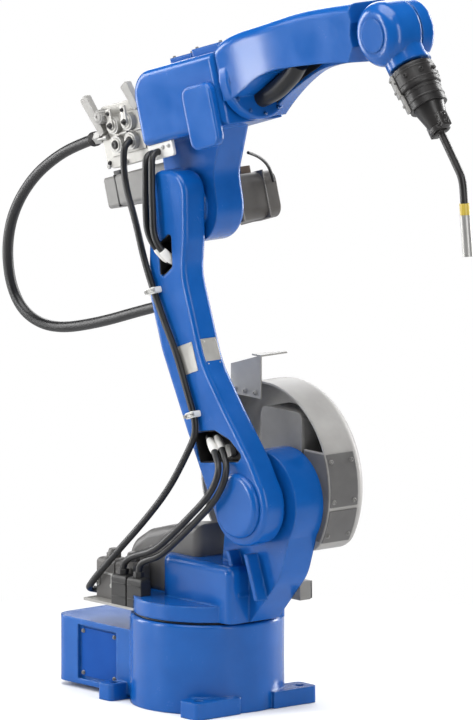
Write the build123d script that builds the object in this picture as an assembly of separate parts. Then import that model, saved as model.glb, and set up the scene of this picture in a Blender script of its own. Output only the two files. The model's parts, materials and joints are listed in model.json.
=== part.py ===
"""Six-axis arc welding robot arm: base, waist, lower arm, elbow, forearm, wrist and torch.

Millimetres, +Z up. The origin is on the first axis, on the floor. +X is the way the arm
reaches and -Y is the near side, where the lower arm and the outer cables are.
"""
import math
import os

from build123d import *

# Axes of the arm, in the pose that is modelled
SHOULDER_REACH = 190.0
SHOULDER_HEIGHT = 412.0
LOWER_ARM_LENGTH = 580.0
LOWER_ARM_LEAN = 20.3
ELBOW_OFFSET = 203.0
FOREARM_LENGTH = 650.0
WRIST_RISE = 14.0
FOREARM_PITCH = 17.0
TORCH_PITCH = -52.0
WRIST_FOLD = -56.0
QUARTER_TURN = 90.0

# Clearances
JOINT_GAP = 5.0
SEAT_CLEARANCE = 0.3
CUT_OVERRUN = 10.0

# Base casting
DRUM_RADIUS = 147.0
DRUM_HEIGHT = 171.0
DRUM_EDGE_ROUND = 5.0
LUG_SPAN = 298.0
LUG_THICKNESS = 32.0
LUG_ROUND = 10.0
FRONT_LUG_LENGTH = 56.0
FRONT_LUG_WIDTH = 107.0
REAR_LUG_LENGTH = 42.0
REAR_LUG_WIDTH = 71.0
BOLT_SPACING = 248.0
BOLT_HOLE_RADIUS = 9.0
BOX_REACH = 326.0
BOX_WIDTH = 220.0
BOX_TOP = 135.0
BOX_LIFT = 9.0
BOX_ROUND = 35.0
RECESS_REAR_MARGIN = 73.0
RECESS_LENGTH = 115.0
RECESS_HEIGHT = 104.0
RECESS_DEPTH = 8.0
SIDE_PANEL_THICKNESS = 3.0
REAR_PANEL_WIDTH = 140.0
REAR_PANEL_HEIGHT = 92.0
REAR_PANEL_THICKNESS = 5.0
SOCKET_RADIUS = 21.0
SOCKET_LENGTH = 24.0
SOCKET_SPACING = 74.0

# Waist casting
TURNTABLE_RADIUS = 141.0
TURNTABLE_HEIGHT = 30.0
J1_SEAT_RADIUS = 100.0
BLOCK_REAR = 62.0
BLOCK_FRONT = 152.0
BLOCK_NEAR = 72.0
BLOCK_FAR = 72.0
BLOCK_DROP = 127.0
BLOCK_ROUND = 14.0
BLOCK_REAR_ROUND = 34.0
BLOCK_TOP_ROUND = 14.0
UPRIGHT_NEAR = 24.0
UPRIGHT_FAR = 45.0
UPRIGHT_RADIUS = 100.0
UPRIGHT_REAR_FOOT = 74.0
UPRIGHT_FRONT_NECK = 244.0
UPRIGHT_NECK_DROP = 139.0
UPRIGHT_FRONT_FOOT = 156.0
UPRIGHT_ROUND = 9.0
RIB_THICKNESS = 10.0
RIB_DEPTH = 26.0
RIB_SPACING = 53.0
RIB_BEHIND = 76.0
RIB_TOP_DROP = 100.0
RIB_HEIGHT = 85.0
RIB_LEAN = 31.0

# Grey covers and motors on the waist
HOOD_RADIUS = 190.0
HOOD_AXIS_BEHIND = 72.0
HOOD_AXIS_ABOVE = 24.0
HOOD_DROP = 118.0
HOOD_DEPTH = 95.0
HOOD_WALL = 4.0
HOOD_ROUND = 26.0
HOOD_CORNER_ROUND = 45.0
HOOD_PLATE_AHEAD = 42.0
HOOD_PLATE_ABOVE = 100.0
J2_MOTOR_WIDTH = 120.0
J2_MOTOR_DEPTH = 60.0
J2_MOTOR_ABOVE = 108.0
J2_MOTOR_BEHIND = 25.0
J2_MOTOR_ROUND = 16.0
BRACKET_THICKNESS = 3.0
BRACKET_WIDTH = 88.0
BRACKET_BEHIND = 170.0
BRACKET_RISE = 50.0
BRACKET_SLOPE = 27.0
BRACKET_LAP = 34.0
BRACKET_ROOT_WIDTH = 26.0
BRACKET_TIP_WIDTH = 7.0
BRACKET_REACH = 63.0
J1_COVER_REACH = 196.0
J1_COVER_HEIGHT = 152.0
J1_COVER_NEAR = 46.0
J1_COVER_FAR = 40.0
J1_COVER_LIFT = 20.0
J1_COVER_ROUND = 18.0
J1_COVER_SHARES = (
    (-1.00, 0.00, 0.00),
    (-1.00, 0.25, 0.12),
    (-0.88, 0.62, 0.30),
    (-0.65, 0.80, 0.30),
    (-0.34, 0.91, 0.30),
    (0.14, 1.00, 0.00),
    (0.14, 0.00, 0.00),
)
STOP_REACH = 187.0
STOP_LENGTH = 34.0
STOP_WIDTH = 26.0
STOP_HEIGHT = 36.0

# Cable bracket and connectors behind the waist
TRAY_REAR = 226.0
TRAY_FRONT = 57.0
TRAY_NEAR = 118.0
TRAY_FAR = 46.0
TRAY_THICKNESS = 5.0
CONNECTOR_REAR = 218.0
CONNECTOR_LENGTH = 52.0
CONNECTOR_NEAR = 92.0
CONNECTOR_WIDTH = 42.0
CONNECTOR_HEIGHT = 78.0
CONNECTOR_ROUND = 10.0
CONNECTOR_SPACE = 4.0
PLUG_REAR = 143.0
PLUG_LENGTH = 42.0
PLUG_WIDTH = 24.0
PLUG_HEIGHT = 59.0
PLUG_ROUND = 8.0

# Lower arm casting
ARM_WIDTH = 115.0
ARM_THICKNESS = 53.0
ARM_HUB_RADIUS = 78.0
ARM_EDGE_ROUND = 9.0
ARM_OUTLINE_SHARES = (
    (0.00, 0.678, 0.0),
    (0.29, 0.90, 1.0),
    (0.57, 1.07, 1.0),
    (0.77, 1.05, 1.0),
    (0.95, 0.69, 1.0),
    (1.15, 0.32, 0.35),
    (1.09, -0.57, 0.35),
    (0.885, -0.20, 0.8),
    (0.78, 0.05, 1.0),
    (0.48, 0.07, 1.6),
    (0.31, -0.21, 1.6),
    (0.12, -0.56, 0.6),
    (0.00, -0.678, 0.0),
)
WINDOW_DEPTH = 38.0
WINDOW_ROUND = 8.0
LOWER_WINDOW_SHARES = (
    (0.280, 0.70),
    (0.262, 0.16),
    (0.216, -0.16),
    (0.150, -0.39),
    (0.136, -0.24),
    (0.176, 0.72),
)
UPPER_WINDOW_SHARES = (
    (0.905, 0.50),
    (0.930, 0.10),
    (0.815, 0.28),
    (0.790, 0.66),
)
J2_SEAT_RADIUS = 60.0
J2_CAP_RADIUS = 62.0
J2_CAP_DEPTH = 12.0
J2_CAP_ROUND = 11.0

# Small pieces on the lower arm
CLIP_WIDTH = 26.0
CLIP_HEIGHT = 12.0
CLIP_DEPTH = 18.0
CLIP_ROUND = 4.0
CLIP_BORE_SPACE = 0.1
UPPER_CLIP_SHARES = (0.761, 0.79)
LOWER_CLIP_SHARES = (0.331, 0.523)
CLAMP_LENGTH = 24.0
CLAMP_WIDTH = 22.0
CLAMP_HEIGHT = 14.0
CLAMP_ROUND = 5.0
UPPER_CLAMP_SHARES = (0.846, 0.44)
LOWER_CLAMP_SHARES = (0.190, 0.22)
FITTING_WIDTH = 26.0
FITTING_LENGTH = 46.0
FITTING_ROUND = 5.0

# Elbow casting, along and across the forearm axis from the third axis
J3_SEAT_RADIUS = 45.0
J3_HOUSING_RADIUS = 70.0
J3_HOUSING_DEPTH = 72.0
J4_HOUSING_REAR = 58.0
J4_HOUSING_FRONT = 200.0
J4_HOUSING_ABOVE = 65.0
J4_HOUSING_BELOW = 76.0
J4_HOUSING_HALF_WIDTH = 75.0
J4_HOUSING_REAR_ROUND = 50.0
J4_HOUSING_EDGE_ROUND = 14.0
WEB_FRONT_TOP = 176.0
WEB_FRONT_KNEE = 74.0
WEB_KNEE_HEIGHT = 46.0
ELBOW_ROUND = 12.0
PAD_REAR = 104.0
PAD_FRONT = 190.0
PAD_TOP = 214.0
PAD_BOTTOM = 92.0
PAD_DEPTH = 15.0
PAD_ROUND = 20.0
PAD_EDGE_ROUND = 5.0
REAR_CAP_LENGTH = 68.0
REAR_CAP_WIDTH = 90.0
REAR_CAP_HEIGHT = 11.0
FRONT_CAP_LENGTH = 88.0
FRONT_CAP_WIDTH = 96.0
FRONT_CAP_HEIGHT = 16.0
CAP_SPACE = 4.0
CAP_ROUND = 4.0

# White bracket below the J4 housing
HANGER_REAR = 50.0
HANGER_LENGTH = 73.0
HANGER_HEIGHT = 29.0
HANGER_NEAR = 66.0
HANGER_THICKNESS = 6.0
HANGER_ROUND = 6.0

# Motors on the elbow
J3_MOTOR_WIDTH = 90.0
J3_MOTOR_LENGTH = 102.0
J3_MOTOR_ROUND = 22.0
J3_CONNECTOR_WIDTH = 24.0
J3_CONNECTOR_HEIGHT = 15.0
J3_CONNECTOR_INSET = 30.0
J4_MOTOR_WIDTH = 60.0
J4_MOTOR_LENGTH = 225.0
J4_MOTOR_NEAR = 2.0
J4_MOTOR_HEIGHT = 68.0
J4_MOTOR_ROUND = 7.0

# Wire feeder behind the elbow
FEEDER_NEAR = 42.0
FEEDER_THICKNESS = 12.0
FEEDER_LENGTH = 152.0
FEEDER_BOTTOM = 106.0
FEEDER_TOP = 226.0
FEEDER_ROUND = 22.0
FEEDER_EDGE_ROUND = 2.0
FEEDER_MOTOR_RADIUS = 36.0
FEEDER_MOTOR_LENGTH = 92.0
ROLL_RADIUS = 17.0
ROLL_DEPTH = 14.0
ROLL_SPACING = 44.0
ROLL_GAP = 3.0
LEVER_WIDTH = 15.0
LEVER_TIP_WIDTH = 22.0
LEVER_DEPTH = 12.0
LEVER_ROUND = 4.0
LEFT_LEVER_TURN = 116.0
LEFT_LEVER_LENGTH = 79.0
LEFT_LEVER_SHARES = (-0.408, 0.117)
RIGHT_LEVER_TURN = 115.0
RIGHT_LEVER_LENGTH = 50.0
RIGHT_LEVER_SHARES = (0.340, 0.375)
KNOB_RADIUS = 13.0
KNOB_DEPTH = 26.0
KNOB_RISE = 40.0
INLET_RADIUS = 13.0
INLET_LENGTH = 22.0
INLET_HEIGHT = 171.0

# Forearm beam: shares of the length between flange and end, and of the flange's radius from the axis
FLANGE_RADIUS = 77.0
FLANGE_LENGTH = 27.0
FLANGE_ROUND = 6.0
J4_SEAT_RADIUS = 55.0
FOREARM_ROUND = 20.0
FOREARM_TOP_SHARES = (
    (0.000, 0.98),
    (0.090, 1.11),
    (0.258, 1.18),
    (0.578, 1.24),
    (0.764, 1.20),
    (1.000, 1.10),
)
FOREARM_NEAR_SHARES = (
    (0.000, -0.42),
    (0.155, -0.24),
    (0.245, -0.06),
    (0.335, 0.01),
    (0.503, -0.03),
    (0.749, -0.16),
    (1.000, -0.36),
)
FOREARM_FAR_SHARES = (
    (0.000, -0.94),
    (0.067, -0.75),
    (0.200, -0.48),
    (0.333, -0.286),
    (0.426, -0.18),
    (0.532, -0.143),
    (0.749, -0.24),
    (1.000, -0.36),
)
FOREARM_WIDTH_SHARES = (
    (0.000, 0.93),
    (0.142, 0.88),
    (0.324, 0.74),
    (0.503, 0.68),
    (1.000, 0.68),
)
FAR_WALL_NEAR = 34.0
FOREARM_END = 58.0
CHEEK_LAP = 60.0
CHEEK_ROOT_BELOW = 20.0
CHEEK_ROOT_ABOVE = 50.0
CHEEK_NEAR = 20.0
CHEEK_FAR = 52.0
CHEEK_RADIUS = 60.0
CHEEK_ROUND = 10.0
CONDUIT_DIAMETER = 38.0
CONDUIT_SHARES = ((0.067, -0.48), (0.193, -0.40), (0.327, -0.13), (0.394, 0.10))

# Wrist
KNUCKLE_RADIUS = 62.0
KNUCKLE_NEAR = 54.0
KNUCKLE_ROUND = 26.0
J5_SEAT_RADIUS = 40.0
NECK_RADIUS = 43.0
NECK_ROOT_LENGTH = 66.0
NECK_LENGTH = 74.0
WRIST_CAP_RADIUS = 33.0
WRIST_CAP_DEPTH = 2.0

# Torch
J6_SEAT_RADIUS = 30.0
MOUNT_RADIUS = 42.0
MOUNT_LENGTH = 46.0
MOUNT_ROUND = 4.0
CLUTCH_RADIUS = 37.0
CLUTCH_LENGTH = 38.0
BODY_RADIUS = 31.0
BODY_TIP_RADIUS = 17.0
BODY_LENGTH = 51.0
NECK_TUBE_RADIUS = 7.5
NECK_STRAIGHT_LENGTH = 106.0
NECK_TURN = 32.0
NECK_ARC_RADIUS = 62.0
NECK_TAIL_LENGTH = 46.0
INSULATOR_RADIUS = 9.5
INSULATOR_LENGTH = 22.0
NOZZLE_RADIUS = 10.0
NOZZLE_WALL = 1.6
NOZZLE_LENGTH = 78.0
TIP_RADIUS = 3.0
TIP_INSET = 4.0

# Cables: diameter and route. Each point names what carries it, then gives shares of that piece's
# sizes: along, above and before for the elbow, along, behind and before for the arm, and so on
HOSE_DIAMETER = 21.0
CABLE_DIAMETER = 13.0
LEAD_DIAMETER = 6.0
CORNER_SHARE = 0.45
FEED_HOSE_ROUTE_SHARES = (
    ("elbow", -1.1429, 0.8424, 0.480),
    ("elbow", -1.3000, 0.8424, 0.480),
    ("elbow", -1.7189, 0.7935, 0.520),
    ("elbow", -2.1655, 0.6467, 0.560),
    ("elbow", -2.5519, 0.3940, 0.533),
    ("elbow", -2.7918, 0.0810, 0.453),
    ("arm", 0.9570, 5.103, 0.341),
    ("arm", 0.8506, 4.931, 0.293),
    ("arm", 0.7751, 4.302, 0.256),
    ("arm", 0.7444, 3.182, 0.220),
    ("arm", 0.7337, 1.858, 0.195),
    ("arm", 0.7202, 0.946, 0.195),
)
CABLE_ROUTE_SHARES = {
    "arm_cable_upper": (
        ("elbow", -0.5312, 0.7188, 0.749),
        ("elbow", -0.5312, 0.7188, 0.987),
        ("elbow", -0.5800, 0.4917, 1.053),
        ("elbow", -0.5618, 0.2646, 1.133),
        ("arm", 0.9967, 0.857, 1.098),
        ("arm", 0.85463, 0.8815, 1.0872),
        ("arm", 0.7613, 0.805, 1.098),
    ),
    "arm_cable_middle": (
        ("arm", 0.7613, 0.805, 1.098),
        ("arm", 0.6576, 0.720, 1.110),
        ("arm", 0.5516, 0.603, 1.098),
        ("arm", 0.4324, 0.556, 1.098),
        ("arm", 0.3307, 0.523, 1.098),
    ),
    "arm_cable_lower": (
        ("arm", 0.3307, 0.523, 1.098),
        ("arm", 0.27985, 0.5065, 1.098),
        ("arm", 0.2122, 0.837, 1.195),
        ("waist", 0.053, 1.0194, 0.882),
        ("waist", -0.326, 0.8447, 0.898),
        ("waist", -0.795, 0.6578, 0.890),
        ("connector", 0.179, 0.551, 0.194),
        ("connector", -0.103, 0.295, 0.236),
        ("connector", -0.282, 0.167, 0.333),
        ("connector", -0.256, 0.115, 0.583),
        ("connector", 0.000, 0.115, 0.583),
    ),
    "window_cable_rear": (
        ("arm", 0.2520, 0.523, 0.800),
        ("arm", 0.1761, 0.140, 1.143),
        ("arm", 0.1262, -0.041, 1.362),
        ("arm", 0.0815, 0.105, 1.432),
        ("waist", 0.705, 1.0172, 0.992),
        ("waist", 0.465, 0.9328, 0.954),
        ("waist", 0.173, 0.8264, 0.944),
        ("waist", -0.134, 0.7237, 0.935),
        ("plug", 1.310, 1.695, 0.500),
        ("plug", 0.643, 1.441, 0.500),
        ("plug", 0.500, 1.237, 0.500),
        ("plug", 0.500, 1.003, 0.500),
    ),
    "window_cable_front": (
        ("arm", 0.2561, 0.439, 0.663),
        ("arm", 0.1782, 0.057, 1.003),
        ("arm", 0.1188, -0.118, 1.223),
        ("arm", 0.0658, 0.046, 1.312),
        ("waist", 0.751, 0.9953, 0.923),
        ("waist", 0.508, 0.9080, 0.893),
        ("waist", 0.216, 0.8008, 0.886),
        ("waist", -0.092, 0.6973, 0.879),
        ("plug", 2.048, 1.593, 0.500),
        ("plug", 1.595, 1.373, 0.500),
        ("plug", 1.595, 1.003, 0.500),
    ),
    "elbow_hose_rear": (
        ("elbow", -0.1911, 0.5517, 0.883),
        ("elbow", -0.1911, 0.5517, 1.120),
        ("elbow", -0.2063, 0.3426, 1.227),
        ("elbow", -0.2393, 0.1791, 1.267),
        ("arm", 1.0109, 0.484, 1.177),
        ("arm", 0.9484, 0.549, 1.195),
        ("arm", 0.8864, 0.478, 1.134),
        ("arm", 0.8384, 0.476, 0.805),
    ),
    "elbow_hose_front": (
        ("elbow", -0.1005, 0.5517, 0.883),
        ("elbow", -0.1005, 0.5517, 1.120),
        ("elbow", -0.1128, 0.3367, 1.227),
        ("elbow", -0.1400, 0.1726, 1.273),
        ("arm", 1.0061, 0.297, 1.183),
        ("arm", 0.9327, 0.411, 1.195),
        ("arm", 0.8724, 0.350, 1.134),
        ("arm", 0.8277, 0.342, 0.805),
    ),
}
LEAD_ROUTE_SHARES = (
    ("elbow", 0.5183, 0.3774, -0.600),
    ("elbow", 0.4785, 0.3483, -0.933),
    ("elbow", 0.4037, 0.2888, -1.333),
    ("elbow", 0.3183, 0.2119, -1.667),
    ("elbow", 0.2385, 0.1024, -1.867),
)

# Derived places
DRUM_SEAT = DRUM_HEIGHT + SEAT_CLEARANCE
WAIST_BOTTOM = DRUM_HEIGHT + JOINT_GAP
TRAY_TOP = WAIST_BOTTOM + TRAY_THICKNESS
BLOCK_TOP = SHOULDER_HEIGHT - BLOCK_DROP
NECK_HEIGHT = SHOULDER_HEIGHT - UPRIGHT_NECK_DROP
FOREARM_START = J4_HOUSING_FRONT + JOINT_GAP
LEAN = math.radians(LOWER_ARM_LEAN)
ELBOW_X = SHOULDER_REACH - LOWER_ARM_LENGTH * math.sin(LEAN)
ELBOW_Z = SHOULDER_HEIGHT + LOWER_ARM_LENGTH * math.cos(LEAN)
PITCH = math.radians(FOREARM_PITCH)
WRIST_OFFSET = ELBOW_OFFSET + WRIST_RISE
WRIST_X = ELBOW_X + FOREARM_LENGTH * math.cos(PITCH) - WRIST_OFFSET * math.sin(PITCH)
WRIST_Z = ELBOW_Z + FOREARM_LENGTH * math.sin(PITCH) + WRIST_OFFSET * math.cos(PITCH)
ARM_FAR = UPRIGHT_NEAR + JOINT_GAP
ARM_NEAR = ARM_FAR + ARM_THICKNESS
J3_FAR = J3_HOUSING_DEPTH - UPRIGHT_NEAR
J4_TOP = ELBOW_OFFSET + J4_HOUSING_ABOVE
J4_BOTTOM = ELBOW_OFFSET - J4_HOUSING_BELOW

NEAR = (0, -1, 0)


def side_plane(x, z, turn):
    """Plane seen from the near side, with its own X turned up from the world's X."""
    turn = math.radians(turn)
    return Plane(origin=(x, 0, z), x_dir=(math.cos(turn), 0, math.sin(turn)), z_dir=NEAR)


WAIST = Plane.XZ
SHOULDER = side_plane(SHOULDER_REACH, SHOULDER_HEIGHT, 0)
LOWER_ARM = side_plane(SHOULDER_REACH, SHOULDER_HEIGHT, QUARTER_TURN + LOWER_ARM_LEAN)
ELBOW = side_plane(ELBOW_X, ELBOW_Z, FOREARM_PITCH)
J4_AXIS = side_plane(
    ELBOW_X - ELBOW_OFFSET * math.sin(PITCH), ELBOW_Z + ELBOW_OFFSET * math.cos(PITCH), FOREARM_PITCH
)
WRIST = side_plane(WRIST_X, WRIST_Z, FOREARM_PITCH)
TORCH = side_plane(WRIST_X, WRIST_Z, TORCH_PITCH)
FOLDED = side_plane(WRIST_X, WRIST_Z, TORCH_PITCH + WRIST_FOLD)


def slab(plane, sketch, near, far):
    """Solid with the sketch as its side view, from `near` before the middle to `far` behind it."""
    return extrude(plane.offset(-far) * sketch, amount=near + far)


def polygon(points, radii):
    """Face with rounded corners."""
    return make_face(FilletPolyline(*points, radius=radii, close=True).edges())


def disc(radius, u=0.0, v=0.0):
    """Round face at a place in a side view."""
    return Pos(u, v) * Circle(radius)


def along(plane, start):
    """Plane across a side plane's own X, at a distance along it, for pieces that turn about it."""
    origin = plane.from_local_coords(Vector(start, 0, 0))
    return Plane(origin=origin, x_dir=NEAR, z_dir=plane.x_dir)


def drum(plane, radius, length):
    """Cylinder that starts on a plane."""
    return plane * Cylinder(radius, length, align=(Align.CENTER, Align.CENTER, Align.MIN))


def cuboid(x, y, z):
    """Box between two limits on each axis, each given as a pair."""
    size = [b - a for a, b in (x, y, z)]
    return Pos(x[0], y[0], z[0]) * Box(*size, align=(Align.MIN, Align.MIN, Align.MIN))


def edges_along(shape, direction):
    """Straight edges of a shape that run along a direction."""
    return shape.edges().filter_by(Axis((0, 0, 0), direction))


def route_place(point):
    """Place of a route's point, from what carries it and the shares of that piece's sizes."""
    carrier, a, b, c = point
    if carrier == "elbow":
        along_and_up = (a * ELBOW_OFFSET, b * ELBOW_OFFSET)
        return ELBOW.from_local_coords(Vector(*along_and_up, c * J4_HOUSING_HALF_WIDTH))
    if carrier == "arm":
        return LOWER_ARM.from_local_coords(Vector(a * LOWER_ARM_LENGTH, b * ARM_WIDTH, c * ARM_NEAR))
    if carrier == "waist":
        return Vector(a * SHOULDER_REACH, -c * TRAY_NEAR, b * SHOULDER_HEIGHT)
    if carrier == "plug":
        return Vector(a * PLUG_LENGTH - PLUG_REAR, c * PLUG_WIDTH - TRAY_NEAR, TRAY_TOP + b * PLUG_HEIGHT)
    across = c * (TRAY_NEAR - TRAY_FAR) - TRAY_NEAR
    return Vector(a * CONNECTOR_HEIGHT - CONNECTOR_REAR, across, TRAY_TOP + b * CONNECTOR_HEIGHT)


def tube(points, diameter, name=None):
    """Round cord along straight runs joined by arcs as large as the runs allow, listed if named."""
    radii = []
    for before, here, after in zip(points, points[1:], points[2:]):
        turn = math.radians((here - before).get_angle(after - here))
        shorter = min((here - before).length, (after - here).length)
        radii.append(CORNER_SHARE * shorter / math.tan(turn / 2))
    path = FilletPolyline(*points, radius=radii)
    start = Plane(origin=path @ 0, z_dir=path % 0)
    cord = sweep(start * Circle(diameter / 2), path=path)
    if name:
        share = cord.volume / path.length / (math.pi * diameter**2 / 4)
        print(f"{name}: length {path.length:.0f}, least radius {min(radii):.0f}, volume share {share:.4f}")
    return cord


def save(name, shape):
    """Write one node."""
    export_step(shape, f"parts/{name}.step")


def base_casting():
    """Drum with four lugs and the rear cable box."""
    half = LUG_SPAN / 2
    body = drum(Plane.XY, DRUM_RADIUS, DRUM_HEIGHT)
    body = fillet(body.edges().group_by(Axis.Z)[-1], DRUM_EDGE_ROUND)
    box = cuboid((-BOX_REACH, 0), (-BOX_WIDTH / 2, BOX_WIDTH / 2), (BOX_LIFT, BOX_TOP))
    box = fillet(box.edges().filter_by(Axis.Z).group_by(Axis.X)[0], BOX_ROUND)
    body += box
    for side in (-1, 1):
        front = cuboid(
            (half - FRONT_LUG_LENGTH, half), (half - FRONT_LUG_WIDTH, half), (0, LUG_THICKNESS)
        )
        rear = cuboid((-half, REAR_LUG_LENGTH - half), (half - REAR_LUG_WIDTH, half), (0, LUG_THICKNESS))
        for lug in (front, rear):
            lug = fillet(lug.edges().filter_by(Axis.Z).group_by(Axis.Y)[-1], LUG_ROUND)
            body += lug if side > 0 else mirror(lug, Plane.XZ)
    bolt = BOLT_SPACING / 2
    for x in (-bolt, bolt):
        for y in (-bolt, bolt):
            body -= Pos(x, y, 0) * Cylinder(BOLT_HOLE_RADIUS, 2 * DRUM_HEIGHT)
    recess_start = -BOX_REACH + RECESS_REAR_MARGIN
    recess_bottom = (BOX_LIFT + BOX_TOP - RECESS_HEIGHT) / 2
    for side in (-1, 1):
        floor = BOX_WIDTH / 2 - RECESS_DEPTH
        cut = cuboid(
            (recess_start, recess_start + RECESS_LENGTH),
            (floor, BOX_WIDTH / 2 + CUT_OVERRUN),
            (recess_bottom, recess_bottom + RECESS_HEIGHT),
        )
        body -= cut if side > 0 else mirror(cut, Plane.XZ)
    return body


def base_side_panels():
    """Flat panels on the floors of the two side recesses."""
    recess_start = -BOX_REACH + RECESS_REAR_MARGIN
    recess_bottom = (BOX_LIFT + BOX_TOP - RECESS_HEIGHT) / 2
    floor = BOX_WIDTH / 2 - RECESS_DEPTH
    panel = cuboid(
        (recess_start + JOINT_GAP, recess_start + RECESS_LENGTH - JOINT_GAP),
        (floor, floor + SIDE_PANEL_THICKNESS),
        (recess_bottom + JOINT_GAP, recess_bottom + RECESS_HEIGHT - JOINT_GAP),
    )
    return Compound(children=[panel, mirror(panel, Plane.XZ)])


def base_connector_panel():
    """Plate on the back of the cable box with two round sockets."""
    middle = (BOX_LIFT + BOX_TOP) / 2
    plate = cuboid(
        (-BOX_REACH - REAR_PANEL_THICKNESS, -BOX_REACH),
        (-REAR_PANEL_WIDTH / 2, REAR_PANEL_WIDTH / 2),
        (middle - REAR_PANEL_HEIGHT / 2, middle + REAR_PANEL_HEIGHT / 2),
    )
    for y in (-SOCKET_SPACING / 2, SOCKET_SPACING / 2):
        face = Plane(origin=(-BOX_REACH, y, middle), z_dir=(-1, 0, 0))
        plate += drum(face, SOCKET_RADIUS, REAR_PANEL_THICKNESS + SOCKET_LENGTH)
    return plate


def waist_block():
    """Block on the turntable, without the upright."""
    block = cuboid((-BLOCK_REAR, BLOCK_FRONT), (-BLOCK_NEAR, BLOCK_FAR), (WAIST_BOTTOM, BLOCK_TOP))
    block = fillet(block.edges().filter_by(Axis.Z).group_by(Axis.X)[-1], BLOCK_ROUND)
    block = fillet(block.edges().filter_by(Axis.Z).group_by(Axis.X)[0], BLOCK_REAR_ROUND)
    return fillet(block.edges().group_by(Axis.Z)[-1], BLOCK_TOP_ROUND)


def waist_casting():
    """Turntable, block, upright with the J2 housing, and two ribs."""
    body = turntable() + drum(Plane.XY.offset(DRUM_SEAT), J1_SEAT_RADIUS, JOINT_GAP)
    body += waist_block()
    rear = SHOULDER_REACH - UPRIGHT_RADIUS
    front = SHOULDER_REACH + UPRIGHT_RADIUS
    outline = polygon(
        (
            (UPRIGHT_REAR_FOOT, WAIST_BOTTOM),
            (UPRIGHT_FRONT_FOOT, WAIST_BOTTOM),
            (UPRIGHT_FRONT_NECK, NECK_HEIGHT),
            (front, SHOULDER_HEIGHT),
            (rear, SHOULDER_HEIGHT),
            (UPRIGHT_REAR_FOOT, BLOCK_TOP),
        ),
        (0, UPRIGHT_ROUND, UPRIGHT_RADIUS, 0, 0, 0),
    )
    outline += disc(UPRIGHT_RADIUS, SHOULDER_REACH, SHOULDER_HEIGHT)
    body += slab(WAIST, outline, UPRIGHT_NEAR, UPRIGHT_FAR)
    top = SHOULDER_HEIGHT - RIB_TOP_DROP
    for rank in range(2):
        x = SHOULDER_REACH - RIB_BEHIND + rank * RIB_SPACING
        rib = make_face(
            Polyline(
                (x, top),
                (x + RIB_THICKNESS, top),
                (x + RIB_THICKNESS + RIB_LEAN, top - RIB_HEIGHT),
                (x + RIB_LEAN, top - RIB_HEIGHT),
                close=True,
            )
        )
        body += slab(WAIST, rib, UPRIGHT_NEAR + RIB_DEPTH, -UPRIGHT_NEAR)
    return body


def hood_outline():
    """Arch with a flat bottom, in the waist's side view."""
    x = SHOULDER_REACH - HOOD_AXIS_BEHIND
    z = SHOULDER_HEIGHT + HOOD_AXIS_ABOVE
    height = HOOD_RADIUS + HOOD_DROP
    above = Pos(x, z + HOOD_RADIUS - height / 2) * Rectangle(2 * HOOD_RADIUS, height)
    arch = disc(HOOD_RADIUS, x, z) & above
    return fillet(arch.vertices().group_by(Axis.Y)[0], HOOD_CORNER_ROUND)


def j2_motor_hood():
    """Arched cover on the far side of the upright, open towards the arm but for its lower front."""
    body = slab(WAIST, hood_outline(), -UPRIGHT_FAR, UPRIGHT_FAR + HOOD_DEPTH)
    body = fillet(body.faces().sort_by(Axis.Y)[-1].edges(), HOOD_ROUND)
    body = offset(body, -HOOD_WALL, openings=body.faces().sort_by(Axis.Y)[0])
    corner = (SHOULDER_REACH + HOOD_PLATE_AHEAD, SHOULDER_HEIGHT + HOOD_PLATE_ABOVE)
    lower = Pos(*corner) * Rectangle(2 * HOOD_RADIUS, 2 * HOOD_RADIUS, align=(Align.MIN, Align.MAX))
    return body + slab(WAIST, hood_outline() & lower, -UPRIGHT_FAR, UPRIGHT_FAR + HOOD_WALL)


def j2_motor():
    """Motor on the far face of the upright, seen inside the hood."""
    x = SHOULDER_REACH - J2_MOTOR_BEHIND
    z = SHOULDER_HEIGHT + J2_MOTOR_ABOVE
    side = RectangleRounded(J2_MOTOR_WIDTH, J2_MOTOR_WIDTH, J2_MOTOR_ROUND)
    return slab(WAIST, Pos(x, z) * side, -UPRIGHT_FAR, UPRIGHT_FAR + J2_MOTOR_DEPTH)


def hood_bracket():
    """Bent sheet on the hood's rim: an upright web and a top plate that narrows to a tip."""
    start = SHOULDER_REACH - BRACKET_BEHIND
    end = start + BRACKET_WIDTH
    arch = SHOULDER_HEIGHT + HOOD_AXIS_ABOVE + HOOD_RADIUS
    top = arch + BRACKET_RISE
    near = UPRIGHT_FAR - BRACKET_THICKNESS
    web = make_face(
        Polyline(
            (start, arch - BRACKET_LAP),
            (end, arch - BRACKET_LAP),
            (end, top),
            (start, top - BRACKET_SLOPE),
            close=True,
        )
    )
    plate = make_face(
        Polyline(
            (end - BRACKET_ROOT_WIDTH, near),
            (end, near),
            (end, UPRIGHT_FAR + BRACKET_REACH),
            (end - BRACKET_TIP_WIDTH, UPRIGHT_FAR + BRACKET_REACH),
            close=True,
        )
    )
    plate = extrude(Plane.XY.offset(top - BRACKET_THICKNESS) * plate, amount=BRACKET_THICKNESS)
    return slab(WAIST, web, -near, UPRIGHT_FAR) + plate


def j1_motor_cover():
    """Rounded cover behind and over the waist block, lower towards the rear."""
    bottom = WAIST_BOTTOM + J1_COVER_LIFT
    outline = polygon(
        [(x * J1_COVER_REACH, bottom + z * J1_COVER_HEIGHT) for x, z, _ in J1_COVER_SHARES],
        [share * J1_COVER_HEIGHT for _, _, share in J1_COVER_SHARES],
    )
    cover = slab(WAIST, outline, J1_COVER_NEAR, J1_COVER_FAR)
    for rank in (0, -1):
        cover = fillet(cover.faces().sort_by(Axis.Y)[rank].edges(), J1_COVER_ROUND)
    return cover - waist_block() - turntable()


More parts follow.
